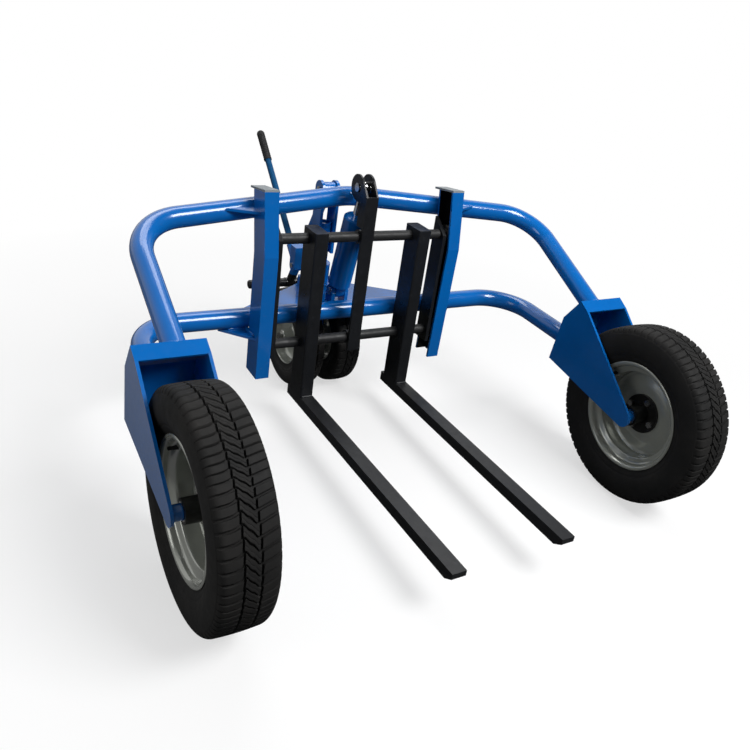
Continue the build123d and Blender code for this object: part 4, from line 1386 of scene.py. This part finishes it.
@dataclass
class LiftGear(Assembly):
    """The lift cylinder and the hand pump."""

    dressed: Sequence[CarriedNode] = (
        CarriedNode(["cylinder_barrel", "cylinder_gland"], BLUE, Edge.LIGHT),
        CarriedNode(["piston_rod", "pump_plunger"], CHROME),
        CarriedNode(["lift_pin", "pump_shaft"], BRIGHT, Edge.LIGHT),
        CarriedNode(["pump_rocker", "lever_socket"], BLUE, Edge.LIGHT),
        CarriedNode(["lever_rod"], LEVER_SHADED_BLUE, Edge.LIGHT),
        CarriedNode(["release_knob"], KNOB, Edge.MEDIUM),
    )

    def build(self) -> None:
        """Finish the nodes and add the lever's grip."""
        super().build()
        LeverGrip().build()


@dataclass
class Steering(Assembly):
    """The steering and the tow bar."""

    dressed: Sequence[CarriedNode] = (
        CarriedNode(["steer_column", "steer_leg"], BLUE, Edge.LIGHT),
        CarriedNode(["drawbar"], TOW_BLUE, Edge.LIGHT),
        CarriedNode(["thrust_bearing", "steer_axle", "drawbar_pin"], BRIGHT, Edge.FINE),
        CarriedNode(["tow_handle"], BLACK),
    )


# Studio


@dataclass(frozen=True)
class Softbox:
    """A rectangular lamp.

    Attributes:
        name: its name.
        place: where it hangs.
        target: where it points.
        size: its two sides.
        power: watts.
    """

    name: str
    place: tuple[float, float, float]
    target: tuple[float, float, float]
    size: tuple[float, float]
    power: float

    def build(self) -> None:
        """Add the lamp."""
        data = bpy.data.lights.new(self.name, "AREA")
        data.shape = "RECTANGLE"
        data.size, data.size_y = self.size
        data.energy = self.power
        lamp = bpy.data.objects.new(self.name, data)
        lamp.location = self.place
        aim = Vector(self.target) - Vector(self.place)
        lamp.rotation_euler = aim.to_track_quat("-Z", "Y").to_euler()
        bpy.context.scene.collection.objects.link(lamp)


@dataclass
class Studio:
    """Pale floor, white backdrop, soft lamps and the photograph's camera.

    Attributes:
        lamps: the lamps.
        floor_half: half the floor's side.
        pale, paler: tones that the camera sees mottled on the floor.
        dull: the floor's tone to the light that bounces.
        fade: from which to which distance the floor fades to white, and its shares of white there.
        sheen: between which places along X the floor's reflection dims, and its strengths there.
        surround_color, surround_power: the light from all round.
        mirrored: the surround's colour in reflections.
        rear: between which shares of Y in a ray's direction that brightens, and its strengths there.
        sensor: width of the camera's sensor, in millimetres.
        focal: focal length, in widths of the picture.
        shift: the camera's shift.
        place, turn: the camera's place, and its turn in degrees.
    """

    WHITE: ClassVar[Rgb] = (1.0, 1.0, 1.0)

    lamps: Sequence[Softbox] = (
        Softbox("key", (1.3, -2.5, 3.7), (0.0, -0.1, 0.4), (2.2, 1.6), 190.0),
        Softbox("fill", (-3.6, -0.4, 1.6), (0.0, 0.0, 0.4), (1.8, 1.8), 21.0),
        Softbox("overhead", (0.4, 1.7, 3.4), (0.0, 0.2, 0.4), (2.6, 1.3), 40.0),
    )
    floor_half: float = 14.0
    pale: Rgb = (0.94, 0.94, 0.94)
    paler: Rgb = (0.97, 0.97, 0.97)
    dull: Rgb = (0.14, 0.14, 0.14)
    fade: Ramp = (0.9, 2.2, 0.62, 1.0)
    sheen: Ramp = (-1.0, -0.72, 0.2, 0.04)
    surround_color: Rgb = (0.93, 0.96, 1.0)
    surround_power: float = 0.16
    mirrored: Rgb = (0.8, 0.8, 0.8)
    rear: Ramp = (0.12, 0.55, 0.03, 1.0)
    sensor: float = 36.0
    focal: float = 771.034 / 750.0
    shift: tuple[float, float] = (-0.05077, 0.02769)
    place: tuple[float, float, float] = (-1.18854, -1.77373, 1.41861)
    turn: tuple[float, float, float] = (60.26786, -9.57209, -31.38711)

    def floor(self) -> None:
        """Add the floor: white to the camera, palest on the left in reflections and dull to
        the light that bounces, so that the truck's undersides stay dark."""
        ends = np.array([-self.floor_half, self.floor_half])
        grid = np.stack([*np.meshgrid(ends, ends, indexing="ij"), np.zeros((2, 2))], -1)
        made = Skin.mesh("floor", grid, False, False, 30.0)
        material = bpy.data.materials.new("pale floor")
        graph = Graph(material)
        rays = graph.node("ShaderNodeLightPath").outputs
        mottle = graph.mix(graph.noise(scale=0.7), self.pale, self.paler)
        tone = graph.mix(rays["Is Camera Ray"], self.dull, mottle)
        graph.finish(Base_Color=tone, Roughness=0.9, Specular_IOR_Level=0.0)
        away = graph.node("ShaderNodeVectorMath", {0: graph.coords}, operation="LENGTH").outputs["Value"]
        fade = graph.math("MULTIPLY", graph.remap(away, *self.fade), rays["Is Camera Ray"])
        faded = graph.blend(fade, graph.shader.outputs["BSDF"], graph.glow("Emission", self.WHITE))
        gloss = graph.glow("Emission", self.WHITE, graph.remap(graph.along("X"), *self.sheen))
        graph.show(graph.blend(rays["Is Glossy Ray"], faded, gloss))
        made.data.materials.append(material)

    def surround(self) -> None:
        """Light the scene faintly from all round; white to the camera, and in reflections
        pale to the rear and dark to the front."""
        world = bpy.data.worlds.new("surround")
        bpy.context.scene.world = world
        graph = Graph(world, "Background", "Generated")
        graph.finish(Color=self.surround_color, Strength=self.surround_power)
        rays = graph.node("ShaderNodeLightPath").outputs
        reflected = graph.glow("Background", self.mirrored, graph.remap(graph.along("Y"), *self.rear))
        bounce = graph.blend(rays["Is Glossy Ray"], graph.shader.outputs["Background"], reflected)
        graph.show(graph.blend(rays["Is Camera Ray"], bounce, graph.glow("Background", self.WHITE)))

    def camera(self) -> None:
        """Set the camera that matches the photograph."""
        data = bpy.data.cameras.new("photo camera")
        data.sensor_width = self.sensor
        data.lens = self.focal * self.sensor
        data.shift_x, data.shift_y = self.shift
        data.clip_end = 100.0
        made = bpy.data.objects.new("photo camera", data)
        made.location = self.place
        made.rotation_euler = Euler([math.radians(angle) for angle in self.turn])
        bpy.context.scene.collection.objects.link(made)
        bpy.context.scene.camera = made

    def build(self) -> None:
        """Set up the whole studio."""
        self.floor()
        self.surround()
        for lamp in self.lamps:
            lamp.build()
        self.camera()
        bpy.context.scene.view_settings.view_transform = "Standard"


def main() -> None:
    """Build the truck and its studio."""
    logging.basicConfig(level=logging.INFO, format="%(message)s")
    for side in Side:
        LoadWheel(side).build()
        SteerWheel(side).build()
    for assembly in (FrameWork(), Carriage(), LiftGear(), Steering(), Studio()):
        assembly.build()


if __name__ == "__main__":
    main()
